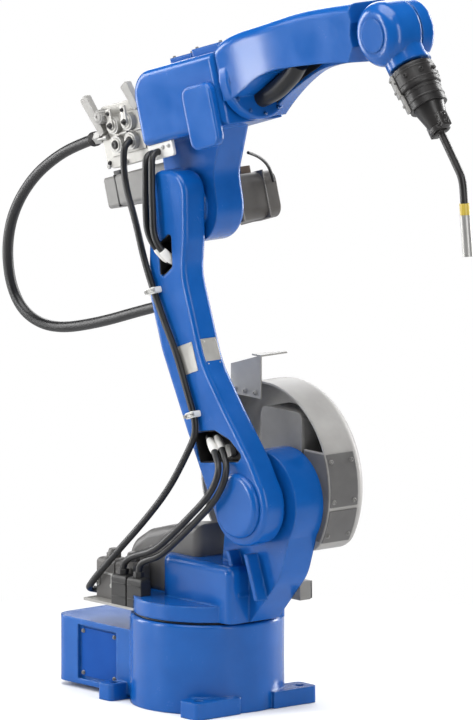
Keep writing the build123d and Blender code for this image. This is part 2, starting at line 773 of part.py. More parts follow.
def stop_block():
    """Small stop at the far front of the waist."""
    return cuboid(
        (STOP_REACH, STOP_REACH + STOP_LENGTH),
        (UPRIGHT_FAR, UPRIGHT_FAR + STOP_WIDTH),
        (NECK_HEIGHT - STOP_HEIGHT - STOP_HEIGHT / 2, NECK_HEIGHT - STOP_HEIGHT / 2),
    )


def turntable():
    """Round foot of the waist."""
    return drum(Plane.XY.offset(WAIST_BOTTOM), TURNTABLE_RADIUS, TURNTABLE_HEIGHT)


def cable_tray():
    """Plate behind the waist that carries the connectors and the plugs."""
    tray = cuboid(
        (-TRAY_REAR, -TRAY_FRONT), (-TRAY_NEAR, -TRAY_FAR), (WAIST_BOTTOM, TRAY_TOP)
    )
    return tray - turntable()


def row_of_two(rear, length, near, width, top, rounding):
    """Two rounded blocks one behind the other on the tray."""
    blocks = []
    for rank in range(2):
        start = -rear + rank * (length + CONNECTOR_SPACE)
        block = cuboid((start, start + length), (-near, width - near), (TRAY_TOP, top))
        block = fillet(block.edges().group_by(Axis.Z)[-1], rounding)
        blocks.append(block - turntable())
    return Compound(children=blocks)


def connector_housings():
    """Two grey connector housings."""
    top = TRAY_TOP + CONNECTOR_HEIGHT
    return row_of_two(
        CONNECTOR_REAR, CONNECTOR_LENGTH, CONNECTOR_NEAR, CONNECTOR_WIDTH, top, CONNECTOR_ROUND
    )


def cable_plugs():
    """Two black plugs that the cables from the lower window end in."""
    return row_of_two(PLUG_REAR, PLUG_LENGTH, TRAY_NEAR, PLUG_WIDTH, TRAY_TOP + PLUG_HEIGHT, PLUG_ROUND)


def arm_point(shares):
    """Place on the lower arm from shares of its length and width."""
    return (shares[0] * LOWER_ARM_LENGTH, shares[1] * ARM_WIDTH)


def lower_arm_casting():
    """Bowed arm with the J2 hub, two cable windows and the seats of both its joints."""
    outline = polygon(
        [arm_point(row) for row in ARM_OUTLINE_SHARES],
        [row[2] * ARM_WIDTH for row in ARM_OUTLINE_SHARES],
    )
    outline += disc(ARM_HUB_RADIUS)
    body = slab(LOWER_ARM, outline, ARM_NEAR, -ARM_FAR)
    body = fillet(body.faces().sort_by(Axis.Y)[0].edges(), ARM_EDGE_ROUND)
    body = fillet(body.faces().sort_by(Axis.Y)[-1].edges(), ARM_EDGE_ROUND)
    for shares in (LOWER_WINDOW_SHARES, UPPER_WINDOW_SHARES):
        window = polygon([arm_point(row) for row in shares], WINDOW_ROUND)
        body -= slab(LOWER_ARM, window, ARM_NEAR + CUT_OVERRUN, WINDOW_DEPTH - ARM_NEAR)
    body += slab(SHOULDER, disc(J2_SEAT_RADIUS), ARM_FAR, -UPRIGHT_NEAR - SEAT_CLEARANCE)
    body += slab(ELBOW, disc(J3_SEAT_RADIUS), ARM_FAR, -UPRIGHT_NEAR - SEAT_CLEARANCE)
    return body


def j2_cap():
    """Round cap over the J2 hub."""
    cap = slab(SHOULDER, disc(J2_CAP_RADIUS), ARM_NEAR + J2_CAP_DEPTH, -ARM_NEAR)
    return fillet(cap.edges().group_by(Axis.Y)[0], J2_CAP_ROUND)


def arm_block(shares, length, width, height, rounding, sunk):
    """Rounded block on the near face of the lower arm, sunk into a window by some depth."""
    place = arm_point(shares)
    sketch = Pos(*place) * RectangleRounded(length, width, rounding)
    return slab(LOWER_ARM, sketch, ARM_NEAR - sunk + height, sunk - ARM_NEAR)


def cable_clip(shares):
    """Saddle that holds the outer cable against the arm."""
    clip = arm_block(shares, CLIP_HEIGHT, CLIP_WIDTH, CLIP_DEPTH, CLIP_ROUND, 0)
    for name in ("arm_cable_upper", "arm_cable_middle", "arm_cable_lower"):
        route = [route_place(point) for point in CABLE_ROUTE_SHARES[name]]
        clip -= tube(route, CABLE_DIAMETER + 2 * CLIP_BORE_SPACE)
    return clip


def window_clamp(shares):
    """Block on the floor of a window that the cables are tied to."""
    return arm_block(shares, CLAMP_LENGTH, CLAMP_WIDTH, CLAMP_HEIGHT, CLAMP_ROUND, WINDOW_DEPTH)


def hose_fitting():
    """Block on the far face of the lower arm that the feed hose ends in."""
    before, end = [route_place(point) for point in FEED_HOSE_ROUTE_SHARES[-2:]]
    block = Plane(origin=end, x_dir=(0, 1, 0), z_dir=end - before)
    return extrude(block * RectangleRounded(FITTING_WIDTH, FITTING_WIDTH, FITTING_ROUND), FITTING_LENGTH)


def elbow_casting():
    """J3 housing, web and J4 housing, with the seat of the forearm."""
    housing = slab(
        ELBOW,
        polygon(
            (
                (-J4_HOUSING_REAR, J4_BOTTOM),
                (J4_HOUSING_FRONT, J4_BOTTOM),
                (J4_HOUSING_FRONT, J4_TOP),
                (-J4_HOUSING_REAR, J4_TOP),
            ),
            (ELBOW_ROUND, 0, 0, J4_HOUSING_REAR_ROUND),
        ),
        J4_HOUSING_HALF_WIDTH,
        J4_HOUSING_HALF_WIDTH,
    )
    housing = fillet(housing.faces().sort_by(Axis.Y)[0].edges(), J4_HOUSING_EDGE_ROUND)
    housing = fillet(housing.faces().sort_by(Axis.Y)[-1].edges(), J4_HOUSING_EDGE_ROUND)
    web = polygon(
        (
            (-J3_HOUSING_RADIUS, 0),
            (J3_HOUSING_RADIUS, 0),
            (WEB_FRONT_KNEE, WEB_KNEE_HEIGHT),
            (WEB_FRONT_TOP, ELBOW_OFFSET),
            (-J4_HOUSING_REAR, ELBOW_OFFSET),
        ),
        (0, 0, J3_HOUSING_RADIUS, 0, 0),
    )
    web = slab(ELBOW, web + disc(J3_HOUSING_RADIUS), UPRIGHT_NEAR, J3_FAR)
    for face in (web.faces().sort_by(Axis.Y)[0], web.faces().sort_by(Axis.Y)[-1]):
        web = fillet(face.edges(), ELBOW_ROUND)
    return housing + web


def elbow_pad():
    """Raised pad on the near side of the J4 housing, carried down beside the web."""
    outline = polygon(
        ((PAD_REAR, PAD_BOTTOM), (PAD_FRONT, PAD_BOTTOM), (PAD_FRONT, PAD_TOP), (PAD_REAR, PAD_TOP)),
        PAD_ROUND,
    )
    pad = slab(ELBOW, outline, J4_HOUSING_HALF_WIDTH + PAD_DEPTH, -J4_HOUSING_HALF_WIDTH)
    return fillet(pad.faces().sort_by(Axis.Y)[0].edges(), PAD_EDGE_ROUND)


def top_cap(start, length, width, height):
    """Low cover on top of the J4 housing."""
    sketch = Pos(start + length / 2, J4_TOP + height / 2) * Rectangle(length, height)
    cap = slab(ELBOW, sketch, width / 2, width / 2)
    return fillet(edges_along(cap, ELBOW.y_dir), CAP_ROUND)


def hose_hanger():
    """Plate below the J4 housing, beside the hoses."""
    outline = polygon(
        (
            (-HANGER_REAR, J4_BOTTOM - HANGER_HEIGHT),
            (HANGER_LENGTH - HANGER_REAR, J4_BOTTOM - HANGER_HEIGHT),
            (HANGER_LENGTH - HANGER_REAR, J4_BOTTOM),
            (-HANGER_REAR, J4_BOTTOM),
        ),
        (HANGER_ROUND, HANGER_ROUND, 0, 0),
    )
    return slab(ELBOW, outline, HANGER_NEAR, HANGER_THICKNESS - HANGER_NEAR)


def j3_motor():
    """Motor on the far side of the J3 housing, in line with the third axis."""
    sketch = RectangleRounded(J3_MOTOR_WIDTH, J3_MOTOR_WIDTH, J3_MOTOR_ROUND)
    return slab(ELBOW, sketch, -J3_FAR, J3_FAR + J3_MOTOR_LENGTH)


def j3_motor_connector():
    """Plug housing on top of the third motor, near its end."""
    end = J3_FAR + J3_MOTOR_LENGTH - J3_CONNECTOR_INSET
    height = J3_MOTOR_WIDTH / 2 + J3_CONNECTOR_HEIGHT / 2
    sketch = Pos(0, height) * Rectangle(J3_CONNECTOR_WIDTH, J3_CONNECTOR_HEIGHT)
    return slab(ELBOW, sketch, J3_CONNECTOR_WIDTH - end, end)


def j4_motor():
    """Motor behind the web, for the fourth axis."""
    start = -J4_HOUSING_REAR - J4_MOTOR_LENGTH
    sketch = Pos(start + J4_MOTOR_LENGTH / 2, J4_MOTOR_HEIGHT)
    sketch *= Rectangle(J4_MOTOR_LENGTH, J4_MOTOR_WIDTH)
    motor = slab(ELBOW, sketch, -J4_MOTOR_NEAR, J4_MOTOR_NEAR + J4_MOTOR_WIDTH)
    motor = fillet(edges_along(motor, ELBOW.x_dir), J4_MOTOR_ROUND)
    return motor - elbow_casting()


def feeder_middle():
    """Centre of the feeder plate in the elbow's side view."""
    return (-J4_HOUSING_REAR - FEEDER_LENGTH / 2, (FEEDER_BOTTOM + FEEDER_TOP) / 2)


def feeder_plate():
    """Wire feeder's base plate, fixed to the back of the J4 housing."""
    sketch = RectangleRounded(FEEDER_LENGTH, FEEDER_TOP - FEEDER_BOTTOM, FEEDER_ROUND)
    plate = slab(ELBOW, Pos(*feeder_middle()) * sketch, FEEDER_NEAR, FEEDER_THICKNESS - FEEDER_NEAR)
    plate = fillet(plate.faces().sort_by(Axis.Y)[0].edges(), FEEDER_EDGE_ROUND)
    return plate


def feeder_motor():
    """Motor behind the feeder plate."""
    back = FEEDER_THICKNESS - FEEDER_NEAR
    return slab(ELBOW, disc(FEEDER_MOTOR_RADIUS, *feeder_middle()), -back, back + FEEDER_MOTOR_LENGTH)


def feeder_rolls():
    """Four drive rolls in two pairs on the near face of the feeder plate."""
    u, v = feeder_middle()
    rise = ROLL_RADIUS + ROLL_GAP / 2
    rolls = []
    for du in (-ROLL_SPACING / 2, ROLL_SPACING / 2):
        for dv in (-rise, rise):
            roll = slab(ELBOW, disc(ROLL_RADIUS, u + du, v + dv), FEEDER_NEAR + ROLL_DEPTH, -FEEDER_NEAR)
            rolls.append(roll)
    return Compound(children=rolls)


def feeder_lever(shares, turn, length):
    """Pressure lever that stands up from the feeder, wider at its free end."""
    u, v = feeder_middle()
    foot = Pos(u + shares[0] * FEEDER_LENGTH, v + shares[1] * (FEEDER_TOP - FEEDER_BOTTOM)) * Rot(0, 0, turn)
    outline = polygon(
        (
            (-LEVER_WIDTH / 2, -LEVER_WIDTH / 2),
            (length, -LEVER_TIP_WIDTH / 2),
            (length, LEVER_TIP_WIDTH / 2),
            (-LEVER_WIDTH / 2, LEVER_WIDTH / 2),
        ),
        LEVER_ROUND,
    )
    return slab(ELBOW, foot * outline, FEEDER_NEAR + LEVER_DEPTH, -FEEDER_NEAR)


def feeder_knob():
    """Pressure knob beside the left pair of rolls."""
    u, v = feeder_middle()
    place = disc(KNOB_RADIUS, u - ROLL_SPACING / 2 - ROLL_RADIUS - KNOB_RADIUS / 2, v + KNOB_RISE)
    return slab(ELBOW, place, FEEDER_NEAR + KNOB_DEPTH, -FEEDER_NEAR)


def feeder_inlet():
    """Nut on the back edge of the plate where the feed hose starts."""
    start = -J4_HOUSING_REAR - FEEDER_LENGTH
    face = Plane(
        origin=ELBOW.from_local_coords(Vector(start, INLET_HEIGHT, FEEDER_NEAR - FEEDER_THICKNESS / 2)),
        x_dir=NEAR,
        z_dir=-ELBOW.x_dir,
    )
    return extrude(face * RegularPolygon(INLET_RADIUS, 6), INLET_LENGTH)


def forearm_point(share):
    """Place in the elbow's side view from shares of the beam's length and the flange's radius."""
    length = FOREARM_LENGTH - FOREARM_END - FOREARM_START
    return (FOREARM_START + share[0] * length, ELBOW_OFFSET + share[1] * FLANGE_RADIUS)


def forearm_side(lower_shares):
    """Side view of the beam between its top line and a lower line."""
    top = Spline(*[forearm_point(share) for share in FOREARM_TOP_SHARES])
    low = Spline(*[forearm_point(share) for share in lower_shares])
    return make_face([top, Line(top @ 1, low @ 1), low, Line(low @ 0, top @ 0)])


def forearm_plan():
    """Solid with the beam's outline seen from above."""
    rows = [(forearm_point(share)[0], share[1] * FLANGE_RADIUS) for share in FOREARM_WIDTH_SHARES]
    left = Spline(*rows)
    right = Spline(*[(x, -y) for x, y in rows])
    outline = make_face([left, Line(left @ 1, right @ 1), right, Line(right @ 0, left @ 0)])
    from_above = Plane(origin=ELBOW.origin, x_dir=ELBOW.x_dir, z_dir=ELBOW.y_dir)
    return extrude(from_above * outline, amount=2 * ELBOW_OFFSET)


def forearm_shell():
    """Round flange, beam that is open below, far wall, and the far cheek that carries the wrist."""
    end = FOREARM_LENGTH - FOREARM_END
    beam = slab(ELBOW, forearm_side(FOREARM_NEAR_SHARES), FLANGE_RADIUS, FLANGE_RADIUS) & forearm_plan()
    top = beam.faces().sort_by(Axis(ELBOW.origin, ELBOW.y_dir))[-1]
    beam = fillet(top.edges().filter_by(Axis.Y, reverse=True), FOREARM_ROUND)
    wall = slab(ELBOW, forearm_side(FOREARM_FAR_SHARES), -FAR_WALL_NEAR, FLANGE_RADIUS) & forearm_plan()
    below = slab(ELBOW, Pos(FOREARM_LENGTH / 2, ELBOW_OFFSET / 2) * Rectangle(FOREARM_LENGTH, ELBOW_OFFSET),
                 FLANGE_RADIUS, FLANGE_RADIUS)
    flange = drum(along(J4_AXIS, FOREARM_START), FLANGE_RADIUS, FLANGE_LENGTH)
    flange = fillet(flange.edges(), FLANGE_ROUND)
    cheek = make_face(
        Polyline(
            (end - CHEEK_LAP, WRIST_OFFSET - CHEEK_ROOT_BELOW),
            (FOREARM_LENGTH, WRIST_OFFSET - CHEEK_ROOT_BELOW),
            (FOREARM_LENGTH, WRIST_OFFSET + CHEEK_ROOT_ABOVE),
            (end - CHEEK_LAP, WRIST_OFFSET + CHEEK_ROOT_ABOVE),
            close=True,
        )
    )
    cheek += disc(CHEEK_RADIUS, FOREARM_LENGTH, WRIST_OFFSET)
    cheek = slab(ELBOW, cheek, -CHEEK_NEAR, CHEEK_FAR)
    cheek = fillet(cheek.faces().sort_by(Axis.Y)[-1].edges(), CHEEK_ROUND)
    room = slab(WRIST, disc(KNUCKLE_RADIUS + JOINT_GAP), FLANGE_RADIUS, FLANGE_RADIUS)
    folded_neck = Rectangle(FOREARM_LENGTH, 2 * (NECK_RADIUS + JOINT_GAP), align=(Align.MIN, Align.CENTER))
    room += slab(FOLDED, folded_neck, FLANGE_RADIUS, FLANGE_RADIUS)
    body = beam + (wall & below) - room + flange + cheek
    return body + drum(along(J4_AXIS, J4_HOUSING_FRONT + SEAT_CLEARANCE), J4_SEAT_RADIUS, JOINT_GAP)


def forearm_conduit():
    """Dark hose from the flange up into the beam, in front of the far wall."""
    points = [ELBOW.from_local_coords(Vector(*forearm_point(share), 0)) for share in CONDUIT_SHARES]
    return tube(points, CONDUIT_DIAMETER) - forearm_shell()


def wrist_casting():
    """Knuckle on the near side of the cheek, with the neck that carries the torch."""
    far = CHEEK_NEAR - JOINT_GAP
    knuckle = slab(WRIST, disc(KNUCKLE_RADIUS), KNUCKLE_NEAR, far)
    knuckle = fillet(knuckle.edges().group_by(Axis.Y)[0], KNUCKLE_ROUND)
    neck = drum(along(TORCH, NECK_ROOT_LENGTH), NECK_RADIUS, NECK_LENGTH - NECK_ROOT_LENGTH)
    root = drum(along(TORCH, 0), NECK_RADIUS, NECK_LENGTH)
    root &= slab(WRIST, disc(2 * KNUCKLE_RADIUS), KNUCKLE_NEAR, far)
    seat = slab(WRIST, disc(J5_SEAT_RADIUS), -far, CHEEK_NEAR - SEAT_CLEARANCE)
    return knuckle + root + neck + seat


def wrist_cap():
    """Round cover on the near side of the knuckle."""
    return slab(WRIST, disc(WRIST_CAP_RADIUS), KNUCKLE_NEAR + WRIST_CAP_DEPTH, -KNUCKLE_NEAR)


def torch_mount():
    """Clutch ring and mount at the root of the torch."""
    start = NECK_LENGTH + JOINT_GAP
    body = drum(along(TORCH, start), MOUNT_RADIUS, MOUNT_LENGTH)
    body = fillet(body.edges(), MOUNT_ROUND)
    body += drum(along(TORCH, start + MOUNT_LENGTH), CLUTCH_RADIUS, CLUTCH_LENGTH)
    return body + drum(along(TORCH, NECK_LENGTH + SEAT_CLEARANCE), J6_SEAT_RADIUS, JOINT_GAP)


def torch_body():
    """Tapered grip between the clutch and the neck."""
    start = NECK_LENGTH + JOINT_GAP + MOUNT_LENGTH + CLUTCH_LENGTH
    cone = Cone(BODY_RADIUS, BODY_TIP_RADIUS, BODY_LENGTH, align=(Align.CENTER, Align.CENTER, Align.MIN))
    return along(TORCH, start) * cone


def neck_path():
    """Centre line of the neck: a straight, a bend and a short tail."""
    start = NECK_LENGTH + JOINT_GAP + MOUNT_LENGTH + CLUTCH_LENGTH + BODY_LENGTH
    bend = math.radians(NECK_TURN)
    corner = (start + NECK_STRAIGHT_LENGTH, 0)
    end = (corner[0] + NECK_TAIL_LENGTH * math.cos(bend), -NECK_TAIL_LENGTH * math.sin(bend))
    return TORCH * FilletPolyline((start, 0), corner, end, radius=NECK_ARC_RADIUS)


def torch_neck():
    """Bent tube of the torch."""
    path = neck_path()
    return sweep(Plane(origin=path @ 0, z_dir=path % 0) * Circle(NECK_TUBE_RADIUS), path=path)


def torch_end(distance):
    """Plane across the tail of the neck, some distance past its end."""
    path = neck_path()
    return Plane(origin=path @ 1, x_dir=NEAR, z_dir=path % 1).offset(distance)


def torch_insulator():
    """Yellow ring between the neck and the nozzle."""
    return drum(torch_end(0), INSULATOR_RADIUS, INSULATOR_LENGTH)


def torch_nozzle():
    """Gas nozzle, open at its end, with the contact tip inside."""
    start = torch_end(INSULATOR_LENGTH)
    body = drum(start, NOZZLE_RADIUS, NOZZLE_LENGTH)
    body -= drum(start.offset(NOZZLE_LENGTH / 2), NOZZLE_RADIUS - NOZZLE_WALL, NOZZLE_LENGTH)
    return body + drum(start, TIP_RADIUS, NOZZLE_LENGTH - TIP_INSET)


os.makedirs("parts", exist_ok=True)
NODES = {
    "base_casting": base_casting,
    "base_side_panels": base_side_panels,
    "base_connector_panel": base_connector_panel,
    "waist_casting": waist_casting,
    "j2_motor_hood": j2_motor_hood,
    "j2_motor": j2_motor,
    "hood_bracket": hood_bracket,
    "j1_motor_cover": j1_motor_cover,
    "stop_block": stop_block,
    "cable_tray": cable_tray,
    "connector_housings": connector_housings,
    "cable_plugs": cable_plugs,
    "lower_arm_casting": lower_arm_casting,
    "j2_cap": j2_cap,
    "hose_fitting": hose_fitting,
    "elbow_casting": elbow_casting,
    "elbow_pad": elbow_pad,
    "hose_hanger": hose_hanger,
    "j3_motor": j3_motor,
    "j3_motor_connector": j3_motor_connector,
    "j4_motor": j4_motor,
    "feeder_plate": feeder_plate,
    "feeder_motor": feeder_motor,
    "feeder_rolls": feeder_rolls,
    "feeder_knob": feeder_knob,
    "feeder_inlet": feeder_inlet,
    "forearm_shell": forearm_shell,
    "forearm_conduit": forearm_conduit,
    "wrist_casting": wrist_casting,
    "wrist_cap": wrist_cap,
    "torch_mount": torch_mount,
    "torch_body": torch_body,
    "torch_neck": torch_neck,
    "torch_insulator": torch_insulator,
    "torch_nozzle": torch_nozzle,
}
for name, make in NODES.items():
    save(name, make())
clips = [cable_clip(shares) for shares in (UPPER_CLIP_SHARES, LOWER_CLIP_SHARES)]
save("cable_clips", Compound(children=clips))
clamps = [window_clamp(shares) for shares in (UPPER_CLAMP_SHARES, LOWER_CLAMP_SHARES)]
save("window_clamps", Compound(children=clamps))
levers = [
    feeder_lever(LEFT_LEVER_SHARES, LEFT_LEVER_TURN, LEFT_LEVER_LENGTH),
    feeder_lever(RIGHT_LEVER_SHARES, RIGHT_LEVER_TURN, RIGHT_LEVER_LENGTH),
]
save("feeder_levers", Compound(children=levers))
front_cap_start = J4_HOUSING_FRONT - FRONT_CAP_LENGTH - CAP_SPACE
rear_cap_start = front_cap_start - CAP_SPACE - REAR_CAP_LENGTH
caps = [
    top_cap(rear_cap_start, REAR_CAP_LENGTH, REAR_CAP_WIDTH, REAR_CAP_HEIGHT),
    top_cap(front_cap_start, FRONT_CAP_LENGTH, FRONT_CAP_WIDTH, FRONT_CAP_HEIGHT),
]
save("elbow_top_caps", Compound(children=caps))
CORDS = {"feed_hose": (FEED_HOSE_ROUTE_SHARES, HOSE_DIAMETER), "j3_motor_lead": (LEAD_ROUTE_SHARES, LEAD_DIAMETER)}
CORDS.update({name: (shares, CABLE_DIAMETER) for name, shares in CABLE_ROUTE_SHARES.items()})
for name, (shares, diameter) in CORDS.items():
    save(name, tube([route_place(point) for point in shares], diameter, name))
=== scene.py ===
import json
import math
from contextlib import contextmanager

import bmesh
import bpy
from mathutils import Matrix, Vector


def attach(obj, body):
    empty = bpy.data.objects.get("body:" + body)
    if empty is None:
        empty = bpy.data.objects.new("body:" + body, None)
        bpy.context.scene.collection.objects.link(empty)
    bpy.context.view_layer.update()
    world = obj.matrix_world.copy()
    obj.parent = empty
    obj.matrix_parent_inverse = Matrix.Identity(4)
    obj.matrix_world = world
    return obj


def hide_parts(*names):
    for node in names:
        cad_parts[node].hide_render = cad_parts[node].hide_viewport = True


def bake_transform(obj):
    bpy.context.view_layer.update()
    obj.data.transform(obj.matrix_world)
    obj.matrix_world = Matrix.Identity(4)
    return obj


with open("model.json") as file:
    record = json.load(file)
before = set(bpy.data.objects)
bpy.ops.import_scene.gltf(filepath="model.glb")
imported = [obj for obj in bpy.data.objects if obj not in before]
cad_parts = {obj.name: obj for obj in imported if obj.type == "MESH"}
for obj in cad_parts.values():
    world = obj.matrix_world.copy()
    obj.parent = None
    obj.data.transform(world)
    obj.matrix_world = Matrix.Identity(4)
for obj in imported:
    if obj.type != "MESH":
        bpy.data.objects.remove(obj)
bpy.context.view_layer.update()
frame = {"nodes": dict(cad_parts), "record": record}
nodes = frame["nodes"]
scene = bpy.context.scene
scene.view_settings.view_transform = "Standard"

# Materials: scales of the noise, and values that all looks have in common
BLOTCH, PATCH, LATHE = 18, 70, 60
ROUGH_NOISE, FINE_NOISE = 2, 4
# Least and most of the lighter colour on edges, given in patches: wear and a painted highlight
WEAR_AND_HIGHLIGHT_LEAST, WEAR_AND_HIGHLIGHT_MOST = 0.15, 0.9
GRAIN_DEPTH = 0.0004
GRAIN_GLOSS = 0.08
COAT_ROUGHNESS = 0.12
EDGE_FROM, EDGE_FULL = 0.02, 0.25


def link(tree, a, b):
    tree.links.new(a, b)


def add(tree, kind, **values):
    """Node with some of its inputs or settings given."""
    node = tree.nodes.new(kind)
    for key, value in values.items():
        if key in node.inputs:
            node.inputs[key].default_value = value
        else:
            setattr(node, key, value)
    return node


def noise(tree, coords, scale, detail=3.0):
    made = add(tree, "ShaderNodeTexNoise", Scale=scale, Detail=detail, Roughness=0.55)
    link(tree, coords, made.inputs["Vector"])
    return made.outputs["Fac"]


def spread(tree, value, low, high, a=0.3, b=0.7):
    """Value between a and b, stretched to run from low to high."""
    made = add(tree, "ShaderNodeMapRange")
    for key, number in (("From Min", a), ("From Max", b), ("To Min", low), ("To Max", high)):
        made.inputs[key].default_value = number
    link(tree, value, made.inputs["Value"])
    return made.outputs["Result"]


def combine(tree, operation, a, b):
    """Two sockets joined by a sum of the given kind."""
    made = add(tree, "ShaderNodeMath", operation=operation)
    link(tree, a, made.inputs[0])
    link(tree, b, made.inputs[1])
    return made.outputs[0]


def mix(tree, factor, first, second):
    """Colour between two, each a colour or a socket."""
    made = tree.nodes.new("ShaderNodeMix")
    made.data_type = "RGBA"
    link(tree, factor, made.inputs[0])
    for socket, value in ((made.inputs[6], first), (made.inputs[7], second)):
        if isinstance(value, tuple):
            socket.default_value = (*value, 1)
        else:
            link(tree, value, socket)
    return made.outputs[2]


def choose(tree, factor, first, second, target):
    """Mix of two shaders, put into the surface of an output node."""
    made = tree.nodes.new("ShaderNodeMixShader")
    for socket, value in zip(made.inputs, (factor, first, second)):
        link(tree, value, socket)
    link(tree, made.outputs[0], tree.nodes[target].inputs["Surface"])


def edge_mask(tree, radius):
    """0 on flat areas, towards 1 on hard edges, and the rounded normal."""
    bevel = add(tree, "ShaderNodeBevel", samples=4, Radius=radius)
    flat = tree.nodes.new("ShaderNodeNewGeometry")
    dot = add(tree, "ShaderNodeVectorMath", operation="DOT_PRODUCT")
    link(tree, bevel.outputs[0], dot.inputs[0])
    link(tree, flat.outputs["Normal"], dot.inputs[1])
    mask = spread(tree, dot.outputs["Value"], 1.0, 0.0, 1 - EDGE_FULL, 1 - EDGE_FROM)
    return mask, bevel.outputs[0]


def finish_of(name, dark, light, rough, grain=900, bump=0.05, metal=0.0, coat=0.0, edge=None,
              edge_radius=0.0025, streak=None, ior=1.5):
    """Procedural surface: two tones, uneven gloss, a fine grain or lathe streaks, and edges lightened in
    patches, as wear and as a painted highlight.
    """
    made = bpy.data.materials.new(name)
    made.use_nodes = True
    tree = made.node_tree
    body = tree.nodes["Principled BSDF"]
    body.inputs["Metallic"].default_value = metal
    body.inputs["Coat Weight"].default_value = coat
    body.inputs["Coat Roughness"].default_value = COAT_ROUGHNESS
    body.inputs["IOR"].default_value = ior
    place = tree.nodes.new("ShaderNodeTexCoord").outputs["Object"]
    if streak:
        stretch = add(tree, "ShaderNodeMapping", Scale=streak)
        link(tree, place, stretch.inputs["Vector"])
        fine = noise(tree, stretch.outputs["Vector"], LATHE, FINE_NOISE)
    else:
        fine = noise(tree, place, grain, ROUGH_NOISE)
    wide = noise(tree, place, BLOTCH, FINE_NOISE)
    colour = mix(tree, spread(tree, wide, 0.0, 1.0), dark, light)
    mask, rounded = edge_mask(tree, edge_radius)
    # Painted highlight along edges, patchy as wear: the lighter colour goes where the edge mask meets the
    # noise patches
    if edge:
        wear_and_highlight_patches = spread(tree, noise(tree, place, PATCH, FINE_NOISE), WEAR_AND_HIGHLIGHT_LEAST, WEAR_AND_HIGHLIGHT_MOST, 0.35)
        colour = mix(tree, combine(tree, "MULTIPLY", mask, wear_and_highlight_patches), colour, edge)
    link(tree, colour, body.inputs["Base Color"])
    low, high = (value - GRAIN_GLOSS / 2 for value in rough)
    uneven = add(tree, "ShaderNodeMath", operation="MULTIPLY_ADD")
    link(tree, fine, uneven.inputs[0])
    uneven.inputs[1].default_value = GRAIN_GLOSS
    link(tree, spread(tree, wide, low, high), uneven.inputs[2])
    link(tree, uneven.outputs[0], body.inputs["Roughness"])
    relief = add(tree, "ShaderNodeBump", Strength=bump, Distance=GRAIN_DEPTH)
    link(tree, fine, relief.inputs["Height"])
    link(tree, rounded, relief.inputs["Normal"])
    link(tree, relief.outputs["Normal"], body.inputs["Normal"])
    return made


